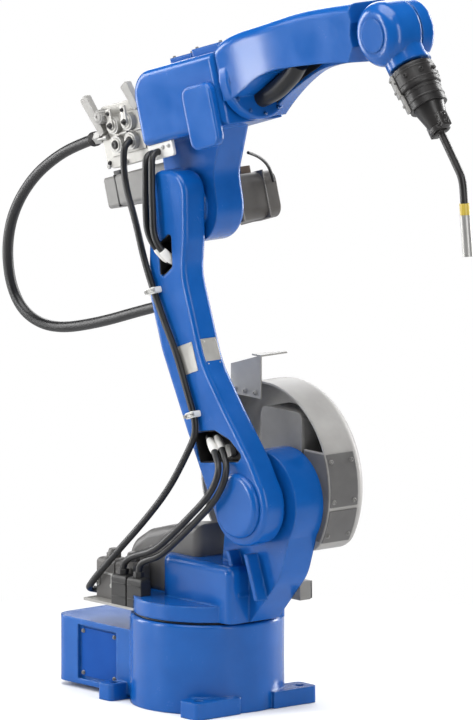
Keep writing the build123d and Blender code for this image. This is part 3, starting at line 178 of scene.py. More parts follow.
# Each look: its darker and lighter tone, the range of its roughness, and what sets it apart. The edge colours
# are lighter: wear and a painted highlight along edges.
LOOKS = {
    # Blue paint: its wide edge radius spreads the painted edge highlight further
    "blue_paint": dict(dark=(0.003, 0.080, 0.325), light=(0.004, 0.094, 0.372), rough=(0.19, 0.27),
                       grain=420, bump=0.08, coat=0.20, edge=(0.03, 0.18, 0.56), edge_radius=0.006, ior=1.42),
    # Darker, rougher blue of the base's recessed side panels
    "panel_blue": dict(dark=(0.002, 0.058, 0.285), light=(0.003, 0.070, 0.330), rough=(0.34, 0.44),
                       grain=420, bump=0.08, edge=(0.02, 0.13, 0.46), ior=1.2),
    "grey_cover": dict(dark=(0.275, 0.266, 0.254), light=(0.335, 0.325, 0.31), rough=(0.42, 0.52),
                       bump=0.16, edge=(0.40, 0.39, 0.37)),
    # Darker grey: on the hood's lower cover it is painted shade of the down-facing belly
    "dark_cover": dict(dark=(0.092, 0.089, 0.087), light=(0.118, 0.115, 0.112), rough=(0.40, 0.5),
                       bump=0.16, edge=(0.27, 0.265, 0.26)),
    "motor_grey": dict(dark=(0.175, 0.170, 0.162), light=(0.22, 0.215, 0.205), rough=(0.40, 0.5),
                       bump=0.12, edge=(0.36, 0.35, 0.33)),
    "sheet_grey": dict(dark=(0.27, 0.262, 0.245), light=(0.33, 0.32, 0.30), rough=(0.36, 0.46),
                       bump=0.08, edge=(0.46, 0.45, 0.43), edge_radius=0.001),
    "motor_brown": dict(dark=(0.072, 0.066, 0.060), light=(0.105, 0.097, 0.088), rough=(0.38, 0.48),
                        bump=0.14, edge=(0.20, 0.19, 0.175)),
    "dark_metal": dict(dark=(0.012, 0.0115, 0.012), light=(0.024, 0.022, 0.021), rough=(0.32, 0.42),
                       bump=0.12, edge=(0.09, 0.085, 0.08)),
    "connector_grey": dict(dark=(0.085, 0.081, 0.077), light=(0.125, 0.120, 0.114), rough=(0.42, 0.55),
                           bump=0.2, edge=(0.24, 0.235, 0.225)),
    "black_plastic": dict(dark=(0.010, 0.010, 0.010), light=(0.020, 0.019, 0.018), rough=(0.40, 0.5),
                          bump=0.18, edge=(0.05, 0.05, 0.05)),
    "black_rubber": dict(dark=(0.0085, 0.0085, 0.009), light=(0.016, 0.016, 0.017), rough=(0.34, 0.44),
                         grain=700, bump=0.05),
    "white_plastic": dict(dark=(0.66, 0.65, 0.62), light=(0.76, 0.75, 0.72), rough=(0.38, 0.48),
                          bump=0.08, edge=(0.84, 0.83, 0.81)),
    "brown_plastic": dict(dark=(0.060, 0.034, 0.020), light=(0.105, 0.062, 0.036), rough=(0.42, 0.55),
                          bump=0.14, edge=(0.16, 0.11, 0.075)),
    "feeder_silver": dict(dark=(0.39, 0.38, 0.355), light=(0.50, 0.49, 0.46), rough=(0.30, 0.42), metal=0.35,
                          bump=0.10, streak=(6, 6, 60), edge=(0.60, 0.59, 0.57), edge_radius=0.001),
    "bright_steel": dict(dark=(0.36, 0.355, 0.34), light=(0.46, 0.455, 0.44), rough=(0.32, 0.42), metal=0.55,
                         bump=0.04, streak=(8, 8, 90), edge=(0.62, 0.61, 0.60), edge_radius=0.0007),
    "lever_grey": dict(dark=(0.25, 0.243, 0.23), light=(0.33, 0.322, 0.305), rough=(0.36, 0.46),
                       bump=0.12, edge=(0.44, 0.43, 0.415)),
    "yellow_plastic": dict(dark=(0.46, 0.34, 0.045), light=(0.57, 0.43, 0.07), rough=(0.28, 0.36),
                           bump=0.06, edge=(0.66, 0.54, 0.18)),
}
LOOK = {name: finish_of(name, **values) for name, values in LOOKS.items()}
slots = {row["node"]: row["material_slot"] for row in frame["record"]["subparts"]}
# The base's recessed side panels take the darker, rougher blue
slots["base_side_panels"] = "panel_blue"


def dress(obj, look):
    obj.data.materials.clear()
    obj.data.materials.append(look)
    return obj


for name, node in nodes.items():
    dress(node, LOOK[slots[name]])

# Meshes: angle in degrees above which an edge stays sharp on long arcs, on most pieces and on tubes
SHARP_ARC, SHARP, SHARP_TUBE = 20, 30, 40


def mesh_object(name, bm, sharp=SHARP):
    bmesh.ops.recalc_face_normals(bm, faces=bm.faces)
    mesh = bpy.data.meshes.new(name)
    bm.to_mesh(mesh)
    bm.free()
    for face in mesh.polygons:
        face.use_smooth = True
    mesh.set_sharp_from_angle(angle=math.radians(sharp))
    obj = bpy.data.objects.new(name, mesh)
    scene.collection.objects.link(obj)
    return obj


def walls(bm, rings, hollow=False):
    """Faces between neighbouring rings, and a cap on each end. A hollow shape joins its last ring to its
    first instead."""
    for a, b in zip(rings, rings[1:] + rings[:1] if hollow else rings[1:]):
        for k in range(len(a)):
            n = (k + 1) % len(a)
            bm.faces.new((a[k], a[n], b[n], b[k]))
    if not hollow:
        bm.faces.new(rings[0][::-1])
        bm.faces.new(rings[-1])


def frames_along(places):
    """Point, and two directions across the line, carried along without twist."""
    rows = []
    across = None
    for i, place in enumerate(places):
        ahead = (places[min(i + 1, len(places) - 1)] - places[max(i - 1, 0)]).normalized()
        if across is None:
            across = ahead.orthogonal()
        across = (across - ahead * across.dot(ahead)).normalized()
        rows.append((place, across.copy(), ahead.cross(across)))
    return rows


def tube(bm, places, radii, sides):
    """Closed tube through the places. Each radius is that of the place with its number."""
    turn = [2 * math.pi * k / sides for k in range(sides)]
    rings = []
    for (place, u, v), radius in zip(frames_along(places), radii):
        rings.append([bm.verts.new(place + radius * (math.cos(t) * u + math.sin(t) * v)) for t in turn])
    walls(bm, rings)


# Cords: points of each line, in metres
CORD_SIDES = 20
CORD_STEPS = 10
CABLE = 0.013
ROUTES = {
    "feed_hose": [(-0.2831, -0.036, 1.0517), (-0.3136, -0.036, 1.0424), (-0.392, -0.039, 1.008),
                  (-0.47, -0.042, 0.953), (-0.53, -0.04, 0.881), (-0.558, -0.034, 0.806),
                  (-0.553, -0.028, 0.729), (-0.513, -0.024, 0.678), (-0.43, -0.021, 0.662),
                  (-0.303, -0.018, 0.69), (-0.158, -0.016, 0.737), (-0.057, -0.016, 0.766)],
    "j3_motor_lead": [(0.067, 0.045, 1.06), (0.061, 0.07, 1.052), (0.05, 0.1, 1.036), (0.038, 0.125, 1.016),
                      (0.029, 0.14, 0.99)],
    "arm_cable_upper": [(-0.157, -0.0562, 1.064), (-0.157, -0.074, 1.064), (-0.153, -0.079, 1.017),
                        (-0.136, -0.085, 0.974), (-0.103, -0.09, 0.92), (-0.077, -0.0892, 0.8417),
                        (-0.05, -0.09, 0.794)],
    "arm_cable_middle": [(-0.05, -0.09, 0.794), (-0.02, -0.091, 0.741), (0.014, -0.09, 0.688),
                         (0.043, -0.09, 0.625), (0.067, -0.09, 0.571)],
    "arm_cable_lower": [(0.067, -0.09, 0.571), (0.0791, -0.09, 0.544), (0.057, -0.098, 0.494),
                        (0.0101, -0.1041, 0.42), (-0.0619, -0.106, 0.348), (-0.1511, -0.105, 0.271),
                        (-0.204, -0.104, 0.224), (-0.226, -0.101, 0.204), (-0.24, -0.094, 0.194),
                        (-0.238, -0.076, 0.19), (-0.218, -0.076, 0.19)],
    "window_cable_rear": [(0.0829, -0.0656, 0.5282), (0.1395, -0.0937, 0.5022), (0.169, -0.1117, 0.4823),
                          (0.1623, -0.1174, 0.4521), (0.1339, -0.1171, 0.4191), (0.0884, -0.1126, 0.3843),
                          (0.0329, -0.1114, 0.3405), (-0.0255, -0.1103, 0.2982), (-0.088, -0.106, 0.281),
                          (-0.116, -0.106, 0.266), (-0.122, -0.106, 0.254), (-0.122, -0.106, 0.2402)],
    "window_cable_front": [(0.0911, -0.0544, 0.5338), (0.148, -0.0822, 0.5067), (0.1788, -0.1003, 0.4813),
                           (0.1718, -0.1076, 0.446), (0.1427, -0.1089, 0.4101), (0.0965, -0.1054, 0.3741),
                           (0.041, -0.1045, 0.3299), (-0.0175, -0.1037, 0.2873), (-0.057, -0.106, 0.275),
                           (-0.076, -0.106, 0.262), (-0.076, -0.106, 0.2402)],
    "elbow_hose_rear": [(-0.0811, -0.0662, 1.0517), (-0.0811, -0.084, 1.0517), (-0.0716, -0.092, 1.0102),
                        (-0.0683, -0.095, 0.9765), (-0.0656, -0.0965, 0.9426), (-0.0601, -0.098, 0.906),
                        (-0.0399, -0.093, 0.8751), (-0.03, -0.066, 0.8491)],
    "elbow_hose_front": [(-0.0635, -0.0662, 1.0571), (-0.0635, -0.084, 1.0571), (-0.0531, -0.092, 1.0146),
                         (-0.0486, -0.0955, 0.9812), (-0.0445, -0.097, 0.9474), (-0.042, -0.098, 0.903),
                         (-0.0233, -0.093, 0.8726), (-0.0134, -0.066, 0.8486)],
}
# Body at each end, and where the bend between the two starts and ends
BENDS = {
    "feed_hose": ("elbow", "lower_arm", (-0.400, -0.03, 1.010), (-0.330, -0.03, 0.760)),
    "arm_cable_upper": ("elbow", "lower_arm", (-0.157, -0.08, 1.040), (-0.090, -0.09, 0.860)),
    "elbow_hose_rear": ("elbow", "lower_arm", (-0.079, -0.09, 1.040), (-0.062, -0.09, 0.920)),
    "elbow_hose_front": ("elbow", "lower_arm", (-0.060, -0.09, 1.044), (-0.043, -0.09, 0.920)),
    "arm_cable_lower": ("lower_arm", "waist", (0.072, -0.09, 0.530), (-0.160, -0.10, 0.270)),
    "window_cable_rear": ("lower_arm", "waist", (0.150, -0.10, 0.480), (-0.080, -0.11, 0.285)),
    "window_cable_front": ("lower_arm", "waist", (0.160, -0.10, 0.480), (-0.050, -0.10, 0.278)),
}
THICK = {"feed_hose": 0.021, "j3_motor_lead": 0.006}
SIT = {"j3_motor_lead": "elbow", "arm_cable_middle": "lower_arm"}


def spline_points(name, route):
    """Points along the route's own smooth line."""
    data = bpy.data.curves.new(name + "_line", "CURVE")
    data.dimensions = "3D"
    data.resolution_u = CORD_STEPS
    line = data.splines.new("NURBS")
    line.points.add(len(route) - 1)
    for point, place in zip(line.points, route):
        point.co = (*place, 1)
    line.order_u = 3
    line.use_endpoint_u = True
    holder = bpy.data.objects.new(name + "_line", data)
    mesh = bpy.data.meshes.new_from_object(holder)
    places = [v.co.copy() for v in mesh.vertices]
    bpy.data.objects.remove(holder)
    bpy.data.meshes.remove(mesh)
    return places


def length_of(places):
    return sum((b - a).length for a, b in zip(places, places[1:]))


lines = {}
for name, route in ROUTES.items():
    places = spline_points(name, route)
    lines[name] = places
    diameter = THICK.get(name, CABLE)
    bm = bmesh.new()
    tube(bm, places, [diameter / 2] * len(places), CORD_SIDES)
    cord = dress(mesh_object(name + "_sheath", bm, SHARP_TUBE), LOOK["black_rubber"])
    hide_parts(name)
    if name in BENDS:
        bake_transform(cord)
    else:
        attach(cord, SIT[name])

# Detail pieces, in millimetres
NEAR = Vector((0, -1, 0))
FAR = -NEAR
TOP = Vector((0, 0, 1))
REAR = Vector((-1, 0, 0))


class Side:
    """Side view of a body: along, up and towards the near side, in millimetres."""

    def __init__(self, x, z, turn):
        turn = math.radians(turn)
        self.origin = Vector((x, 0, z)) / 1000
        self.u = Vector((math.cos(turn), 0, math.sin(turn)))
        self.v = Vector((-math.sin(turn), 0, math.cos(turn)))
        self.w = NEAR

    def rolled(self, turn):
        """Same line along, with up turned towards the near side."""
        made = Side(0, 0, 0)
        spin = Matrix.Rotation(math.radians(turn), 3, self.u)
        made.origin, made.u, made.v, made.w = self.origin, self.u, spin @ self.v, spin @ self.w
        return made

    def at(self, u, v, w):
        return self.origin + (self.u * u + self.v * v + self.w * w) / 1000


FLOOR = Side(0, 0, 0)
ARM = Side(190, 412, 110.3)
ELBOW = Side(-11.2227, 955.976, 17)
TORCH = Side(546.931, 1353.54, -52)
STRIP = TORCH.rolled(-62)
HOOD = Side(118, 436, 0)

# Screws: rings of the head, as shares of its radius, with a washer and a socket, and the radii in use
SCREW_HEAD = ((1.45, 0), (1.45, 0.3), (1, 0.34), (1, 1.05), (0.85, 1.22), (0.56, 1.22), (0.56, 0.55))
SOCKET_RINGS = (5, 6)
CLIP_SCREW, END_SCREW, PANEL_SCREW, COVER_SCREW = 2.6, 2.8, 3.0, 3.2
MOUNT_SCREW, SHEET_SCREW, MOTOR_SCREW, ROLL_SCREW = 3.4, 3.6, 4.0, 4.2
# Outlines of small turned pieces: radius and height of each ring
RIVET = [(2.2, 0), (2.0, 0.7), (1.0, 1.1)]
SMALL_RIVET = [(2.0, 0), (1.8, 0.7), (1.0, 1.0)]
LINER_RIVET = [(3, 0), (3, 0.8), (2, 1.4), (1, 1.4), (1, 0.8)]
LATCH_PIN = [(4.5, 0), (4.5, 1.5), (3.5, 2.2)]
SOCKET_CAP = [(14.5, 0), (14.5, 1.5), (12.5, 3), (4, 3), (4, 1.8)]
GLAND_CAP = [(11, 0), (11, 11), (9, 16), (5, 17.5)]
MOTOR_CAP = [(30, 0), (33, 1), (33, 4), (24, 7), (24, 10), (10, 11), (10, 9)]
ROLL_NUT = [(8, 0), (8, 4), (6.5, 5.5), (3, 5.5), (3, 4)]
PLATE_NUT = [(5, 0), (5, 3), (4, 4), (2, 4), (2, 3)]
KNOB_RIB = [(1, 0), (1.8, 1), (1.8, 19), (1, 20)]
KNOB_CAP = [(10, 0), (10, 1.5), (8, 2.5), (3, 2.5), (3, 1.2)]
INLET_GUIDE = [(2.6, 0), (3.2, 1), (3.2, 20), (5, 21), (5, 30), (2, 31)]
MIDDLE_GUIDE = [(2, 0), (3, 1), (3, 23), (2, 24)]
OUTLET_GUIDE = [(2, 0), (3, 1), (3, 26), (5, 27), (5, 38), (3, 39)]


def polar(radius, turn):
    return radius * math.cos(turn), radius * math.sin(turn)


def arc(start, end, steps):
    """Angles in radians, evenly spaced from one angle in degrees to another."""
    return [math.radians(start + (end - start) * k / steps) for k in range(steps + 1)]


def block(bm, side, u, v, w, round_by):
    """Box with rounded edges between two limits each along, up and towards the near side."""
    part = bmesh.new()
    bmesh.ops.create_cube(part, size=1)
    for vert in part.verts:
        a, b, c = (pair[0] + (co + 0.5) * (pair[1] - pair[0]) for pair, co in zip((u, v, w), vert.co))
        vert.co = side.at(a, b, c)
    bmesh.ops.bevel(part, geom=part.edges, offset=round_by / 1000, segments=2, profile=0.6, affect="EDGES")
    mesh = bpy.data.meshes.new("part")
    part.to_mesh(mesh)
    part.free()
    bm.from_mesh(mesh)
    bpy.data.meshes.remove(mesh)


def turned(bm, place, axis, profile, sides=28, corners=(), hollow=False):
    """Shape turned about an axis, from pairs of radius and height. Rings that are listed in `corners` have
    six sides."""
    axis = axis.normalized()
    u = axis.orthogonal().normalized()
    v = axis.cross(u)
    rings = []
    for rank, (radius, height) in enumerate(profile):
        ring = []
        for k in range(sides):
            t = 2 * math.pi * k / sides
            r = radius
            if rank in corners:
                r *= math.cos(math.pi / 6) / math.cos(t % (math.pi / 3) - math.pi / 6)
            a, b = polar(r, t)
            ring.append(bm.verts.new(place + (u * a + v * b + axis * height) / 1000))
        rings.append(ring)
    walls(bm, rings, hollow)


def collar(bm, place, axis, inner, outer, length, six=False):
    """Ring with chamfered rims, round or six-sided outside."""
    c = min(1.0, (outer - inner) / 3)
    profile = [(inner, 0), (outer - c, 0), (outer, c), (outer, length - c), (outer - c, length),
               (inner, length)]
    turned(bm, place, axis, profile, 36, (1, 2, 3, 4) if six else (), hollow=True)


def screw(bm, place, axis, radius):
    """Socket-head screw with a washer, standing on a face."""
    turned(bm, place, axis, [(a * radius, b * radius) for a, b in SCREW_HEAD], 24, SOCKET_RINGS)


def prism(bm, side, outline, w, hole=None):
    """Flat piece with an outline in a side view, or the ring between two outlines."""
    loops = [outline] + ([hole] if hole else [])
    faces = [[[bm.verts.new(side.at(a, b, depth)) for a, b in loop] for depth in w] for loop in loops]
    count = len(outline)
    for low, high in faces:
        for k in range(count):
            n = (k + 1) % count
            bm.faces.new((low[k], low[n], high[n], high[k]))
    for rank in (0, 1):
        if hole:
            outer, inner = faces[0][rank], faces[1][rank]
            for k in range(count):
                n = (k + 1) % count
                bm.faces.new((outer[k], outer[n], inner[n], inner[k]))
        else:
            bm.faces.new(faces[0][rank])


def inset(outline, by):
    """Outline moved inwards by a distance."""
    turn = sum(a[0] * b[1] - b[0] * a[1] for a, b in zip(outline, outline[1:] + outline[:1]))
    sign = 1 if turn > 0 else -1
    rows = []
    for before, here, after in zip(outline[-1:] + outline[:-1], outline, outline[1:] + outline[:1]):
        a = (Vector(here) - Vector(before)).normalized()
        b = (Vector(after) - Vector(here)).normalized()
        na, nb = Vector((-a.y, a.x)) * sign, Vector((-b.y, b.x)) * sign
        rows.append(tuple(Vector(here) + (na + nb) * (by / (1 + na.dot(nb)))))
    return rows


def sleeve(bm, places, first, last, radius, rim=0.0012):
    """Tube with rounded rims on part of a cord, between two lengths from its start, in metres."""
    run, kept = 0.0, []
    for a, b in zip(places, places[1:]):
        if first <= run <= last:
            kept.append(a)
        run += (b - a).length
    tube(bm, kept, [radius - rim] + [radius] * (len(kept) - 2) + [radius - rim], 24)


@contextmanager
def piece(name, look, body, sharp=SHARP):
    """Mesh to fill, which then becomes a finished detail that rides on a body."""
    bm = bmesh.new()
    yield bm
    obj = dress(mesh_object(name, bm, sharp), LOOK[look])
    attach(obj, body)


def screws(name, look, body, rows):
    """Screws in one piece: place, axis and radius of each."""
    with piece(name, look, body) as bm:
        for row in rows:
            screw(bm, *row)


# Base: screws of the side and rear panels, socket caps and the turntable's seal
rows = [(FLOOR.at(x, z, side * 105), NEAR * side, PANEL_SCREW)
        for side in (1, -1) for x in (-241.5, -149.5) for z in (31.5, 112.5)]
rows += [(FLOOR.at(-331, z, w), REAR, PANEL_SCREW) for w in (63, -63) for z in (34, 110)]
screws("base_panel_screws", "motor_grey", "base", rows)
with piece("socket_caps", "connector_grey", "base") as bm:
    for w in (37, -37):
        collar(bm, FLOOR.at(-352, 72, w), REAR, 15, 19, 6)
        turned(bm, FLOOR.at(-354, 72, w), REAR, SOCKET_CAP)
with piece("turntable_seal", "black_rubber", "base", SHARP_TUBE) as bm:
    collar(bm, FLOOR.at(0, 171.5, 0), TOP, 128, 139, 3.4)

# Waist: screws of the motor cover, and the hood's lower cover
COVER_SCREWS = ((-165, 228), (-150, 266), (-108, 286), (-50, 302))
COVER_FACES = ((46, NEAR), (-40, FAR))
rows = [(FLOOR.at(x, z, w), axis, COVER_SCREW) for w, axis in COVER_FACES for x, z in COVER_SCREWS]
screws("cover_screws", "motor_grey", "waist", rows)
RIM_INNER, RIM_OUTER, FRONT_RIM = 189, 192.2, 187
RIM_ARCS = ((22.5, -8.2), (-10.4, -31))
FRONT_ARC = (23, -31)
FRONT_TOP, FRONT_FOOT = (116, 73), (116, -96)
RIM_DEPTH, FRONT_DEPTH = (-46.5, -113), (-45.3, -43.9)
RIM_SCREWS, RIM_SCREW_RADIUS, RIM_SCREW_ROWS = (18, -5, -26), 192, (-54, -104)
BACK_SCREWS, BACK_SCREW_SPAN, BACK_FACE = (0, 60, 120, 180), (150, 140), -140
# The hood's lower cover takes the darker grey: painted shade of its down-facing belly
with piece("hood_lower_cover", "dark_cover", "waist", SHARP_ARC) as bm:
    for start, end in RIM_ARCS:
        turns = arc(start, end, 18)
        outline = [polar(RIM_INNER, t) for t in turns] + [polar(RIM_OUTER, t) for t in turns[::-1]]
        prism(bm, HOOD, outline, RIM_DEPTH)
    outline = [FRONT_TOP] + [polar(FRONT_RIM, t) for t in arc(*FRONT_ARC, 24)] + [FRONT_FOOT]
    prism(bm, HOOD, outline, FRONT_DEPTH)
rows = []
for turn in RIM_SCREWS:
    x, z = polar(1, math.radians(turn))
    outwards = HOOD.u * x + HOOD.v * z
    for w in RIM_SCREW_ROWS:
        rows.append((HOOD.at(RIM_SCREW_RADIUS * x, RIM_SCREW_RADIUS * z, w), outwards, COVER_SCREW))
for turn in BACK_SCREWS:
    x, z = polar(1, math.radians(turn))
    rows.append((HOOD.at(BACK_SCREW_SPAN[0] * x, BACK_SCREW_SPAN[1] * z, BACK_FACE), FAR, SHEET_SCREW))
screws("hood_screws", "motor_grey", "waist", rows)
rows = [(FLOOR.at(x, 602, -42), NEAR, SHEET_SCREW) for x in (34, 62, 92)]
screws("bracket_screws", "sheet_grey", "waist", rows)

# Waist: stop bumper, connectors and plugs
HOUSINGS = (-192, -136)
PLUGS = (-122, -76)
GLAND_HOLE, GLAND_RIM = 6.3, 10.5
with piece("stop_bumper", "black_rubber", "waist") as bm:
    block(bm, FLOOR, (190, 218), (222, 252), (-71, -75), 2)
    for x in (197, 211):
        screw(bm, FLOOR.at(x, 237, -75), FAR, MOTOR_SCREW)
with piece("connector_latches", "bright_steel", "waist") as bm:
    for x in HOUSINGS:
        block(bm, FLOOR, (x - 22, x + 22), (228, 232), (91.5, 94), 0.8)
        for end in (x - 20, x + 20):
            block(bm, FLOOR, (end - 3, end + 3), (205, 232), (91.5, 93.5), 0.8)
            turned(bm, FLOOR.at(end, 208, 93), NEAR, LATCH_PIN, 20)
with piece("connector_glands", "connector_grey", "waist") as bm:
    for x in HOUSINGS:
        collar(bm, FLOOR.at(x, 258.5, 71), TOP, 7, 14, 9, six=True)
        turned(bm, FLOOR.at(x, 259, 71), TOP, GLAND_CAP)
with piece("plug_glands", "black_plastic", "waist") as bm:
    for x in PLUGS:
        collar(bm, FLOOR.at(x, 239.5, 106), TOP, GLAND_HOLE, GLAND_RIM, 11, six=True)
    collar(bm, FLOOR.at(-218.5, 190, 76), REAR, GLAND_HOLE, GLAND_RIM, 10, six=True)
    for x in PLUGS:
        for z in (196, 222):
            block(bm, FLOOR, (x - 19, x + 19), (z, z + 3), (117, 119.2), 0.7)

# Lower arm: black sheets inside the windows, painted shade of the openings, then clips, sleeves and two blank
# plates. Outlines are shares of the arm's size
ARM_LENGTH, ARM_WIDTH = 580, 115
WINDOW_BACK, WINDOW_FACE, SHADE_FLOOR = 44.2, 81.2, 45.4
WINDOWS = {
    "lower_window_liner": [(0.280, 0.70), (0.262, 0.16), (0.216, -0.16), (0.150, -0.39), (0.136, -0.24),
                           (0.176, 0.72)],
    "upper_window_liner": [(0.905, 0.50), (0.930, 0.10), (0.815, 0.28), (0.790, 0.66)],
}
CLIPS = ((0.761, 0.79), (0.331, 0.523))
for name, shares in WINDOWS.items():
    outline = [(a * ARM_LENGTH, b * ARM_WIDTH) for a, b in shares]
    # Black walls and a black floor inside each window: painted shade
    with piece(name, "black_plastic", "lower_arm") as bm:
        prism(bm, ARM, inset(outline, 0.6), (WINDOW_BACK, WINDOW_FACE), inset(outline, 1.8))
        prism(bm, ARM, inset(outline, 1.9), (WINDOW_BACK, SHADE_FLOOR))
with piece("clip_straps", "bright_steel", "lower_arm") as bm:
    for a, b in CLIPS:
        u, v = a * ARM_LENGTH, b * ARM_WIDTH
        block(bm, ARM, (u - 3.5, u + 3.5), (v - 15, v + 15), (99.6, 101.8), 0.8)
        for end in (v - 11, v + 11):
            screw(bm, ARM.at(u, end, 101.6), NEAR, CLIP_SCREW)
with piece("near_blank_plate", "feeder_silver", "lower_arm") as bm:
    block(bm, ARM, (270, 326), (26, 74), (81.6, 83.0), 0.5)
    for u in (275, 321):
        for v in (31, 69):
            turned(bm, ARM.at(u, v, 82.9), NEAR, RIVET, 16)
with piece("front_blank_plate", "feeder_silver", "lower_arm") as bm:
    block(bm, ARM, (272, 326), (6.0, 10), (37, 75), 0.5)
    for u in (277, 321):
        for w in (42, 70):
            turned(bm, ARM.at(u, 6.1, w), -ARM.v, SMALL_RIVET, 16)
SLEEVE = 0.0082
with piece("cable_sleeves", "white_plastic", "lower_arm", SHARP_TUBE) as bm:
    for name in ("elbow_hose_rear", "elbow_hose_front"):
        total = length_of(lines[name])
        sleeve(bm, lines[name], total - 0.040, total - 0.002, SLEEVE)
    for name in ("window_cable_rear", "window_cable_front"):
        sleeve(bm, lines[name], 0.002, 0.058, SLEEVE)

# Elbow: screws of the caps and the hanger, and trim of the motors
rows = [(ELBOW.at(u, 279, w), ELBOW.v, COVER_SCREW) for u in (42, 96) for w in (-36, 36)]
rows += [(ELBOW.at(u, 284, w), ELBOW.v, COVER_SCREW) for u in (116, 188) for w in (-38, 38)]
screws("cap_screws", "motor_grey", "elbow", rows)
rows = [(ELBOW.at(u, 118, 66), NEAR, PANEL_SCREW) for u in (-5, 12)]
screws("hanger_screws", "bright_steel", "elbow", rows)
with piece("j3_motor_trim", "motor_brown", "elbow") as bm:
    block(bm, ELBOW, (-48, 48), (-48, 48), (-56, -48.3), 3)
    for u in (-38, 38):
        for v in (-38, 38):
            screw(bm, ELBOW.at(u, v, -56), FAR, MOTOR_SCREW)
    block(bm, ELBOW, (-46.2, 46.2), (-46.2, 46.2), (-122, -118), 1.5)
    block(bm, ELBOW, (-30, 30), (-30, 30), (-153, -149.5), 2)
with piece("j4_motor_trim", "dark_metal", "elbow") as bm:
    block(bm, ELBOW, (-287, -282), (42, 94), (-58, -6), 2)
    for u in (-250, -130):
        block(bm, ELBOW, (u - 2, u + 2), (37.2, 98.8), (-62.8, -1.2), 1)
    for v in (48, 88):
        for w in (-52, -12):
            screw(bm, ELBOW.at(-287, v, w), -ELBOW.u, END_SCREW)
    block(bm, ELBOW, (-275, -255), (97, 108), (-42, -22), 2)

# Elbow: wire feeder, by the middle of its motor and the line of the wire
FEEDER_U, FEEDER_V = -134, 166
WIRE_W = 49
ROLLS = (-156, -112)
LOWER_ROLL, UPPER_ROLL, LEVER_TOP = 147.5, 184.5, 208
KNOB_U, KNOB_V = -179.5, 206
KNOB_RIBS, KNOB_RADIUS = 10, 12.6
HOSE_V, HOSE_W = 171, 36
with piece("feeder_motor_trim", "dark_metal", "elbow") as bm:
    turned(bm, ELBOW.at(FEEDER_U, FEEDER_V, -62), FAR, MOTOR_CAP, 36)
    collar(bm, ELBOW.at(FEEDER_U, FEEDER_V, 10), FAR, 36, 37.5, 5)
with piece("feeder_bed", "feeder_silver", "elbow") as bm:
    block(bm, ELBOW, (-186, -82), (127, 205), (41.8, 45), 2)
    for u in ROLLS:
        for v in (LOWER_ROLL, UPPER_ROLL):
            collar(bm, ELBOW.at(u, v, 55.8), NEAR, 9, 13, 2)
        block(bm, ELBOW, (u - 7, u + 7), (178, 216), (55.5, 61), 2)
with piece("feeder_screws", "dark_metal", "elbow") as bm:
    for u in ROLLS:
        turned(bm, ELBOW.at(u, LOWER_ROLL, 56), NEAR, ROLL_NUT, 24)
        screw(bm, ELBOW.at(u, UPPER_ROLL, 61), NEAR, ROLL_SCREW)
        screw(bm, ELBOW.at(u, LEVER_TOP, 61), NEAR, PANEL_SCREW)
    for u in (-200, -68):
        for v in (118, 214):
            screw(bm, ELBOW.at(u, v, 42), NEAR, COVER_SCREW)
with piece("wire_guides", "bright_steel", "elbow") as bm:
    for u, guide in ((-214, INLET_GUIDE), (-146, MIDDLE_GUIDE), (-96, OUTLET_GUIDE)):
        turned(bm, ELBOW.at(u, FEEDER_V, WIRE_W), ELBOW.u, guide, 20)
    for u in (-203, -149):
        turned(bm, ELBOW.at(u, 112, 42), NEAR, PLATE_NUT, 20)
with piece("knob_grip", "lever_grey", "elbow") as bm:
    for k in range(KNOB_RIBS):
        a, b = polar(KNOB_RADIUS, 2 * math.pi * k / KNOB_RIBS)
        turned(bm, ELBOW.at(KNOB_U + a, KNOB_V + b, 46), NEAR, KNOB_RIB, 10)
    turned(bm, ELBOW.at(KNOB_U, KNOB_V, 67.5), NEAR, KNOB_CAP)
with piece("hose_nut", "dark_metal", "elbow") as bm:
    collar(bm, ELBOW.at(-231, HOSE_V, HOSE_W), -ELBOW.u, 10.2, 13.2, 16)
    for u in (-234, -238, -242):
        collar(bm, ELBOW.at(u, HOSE_V, HOSE_W), -ELBOW.u, 12, 14.2, 2)

# Forearm: black liner in the scoop, which also paints the shade of the hollow, and the flange's ring of
# screws
SCOOP_LOW = [(231, 151), (282, 172), (334, 187), (370, 195)]
SCOOP_HIGH = [(392, 203), (335, 206), (300, 201), (265, 187), (240, 177)]
SCOOP_RIVETS = ((245, 165), (284, 184), (332, 197))
FLANGE_U, FLANGE_V, FLANGE_RADIUS = 232, 203, 68
with piece("scoop_shade_liner", "black_plastic", "forearm") as bm:
    # Black sheet along the scoop's inner wall, darkening the hollow: painted shade as well as a liner
    prism(bm, ELBOW, SCOOP_LOW + SCOOP_HIGH, (-33.9, -32.6))
    for u, v in SCOOP_RIVETS:
        turned(bm, ELBOW.at(u, v, -32.7), NEAR, LINER_RIVET, 16)
rows = []
for turn in range(0, 360, 30):
    v, w = polar(FLANGE_RADIUS, math.radians(turn))
    rows.append((ELBOW.at(FLANGE_U, FLANGE_V + v, w), ELBOW.u, PANEL_SCREW))
screws("flange_screws", "blue_paint", "forearm", rows)

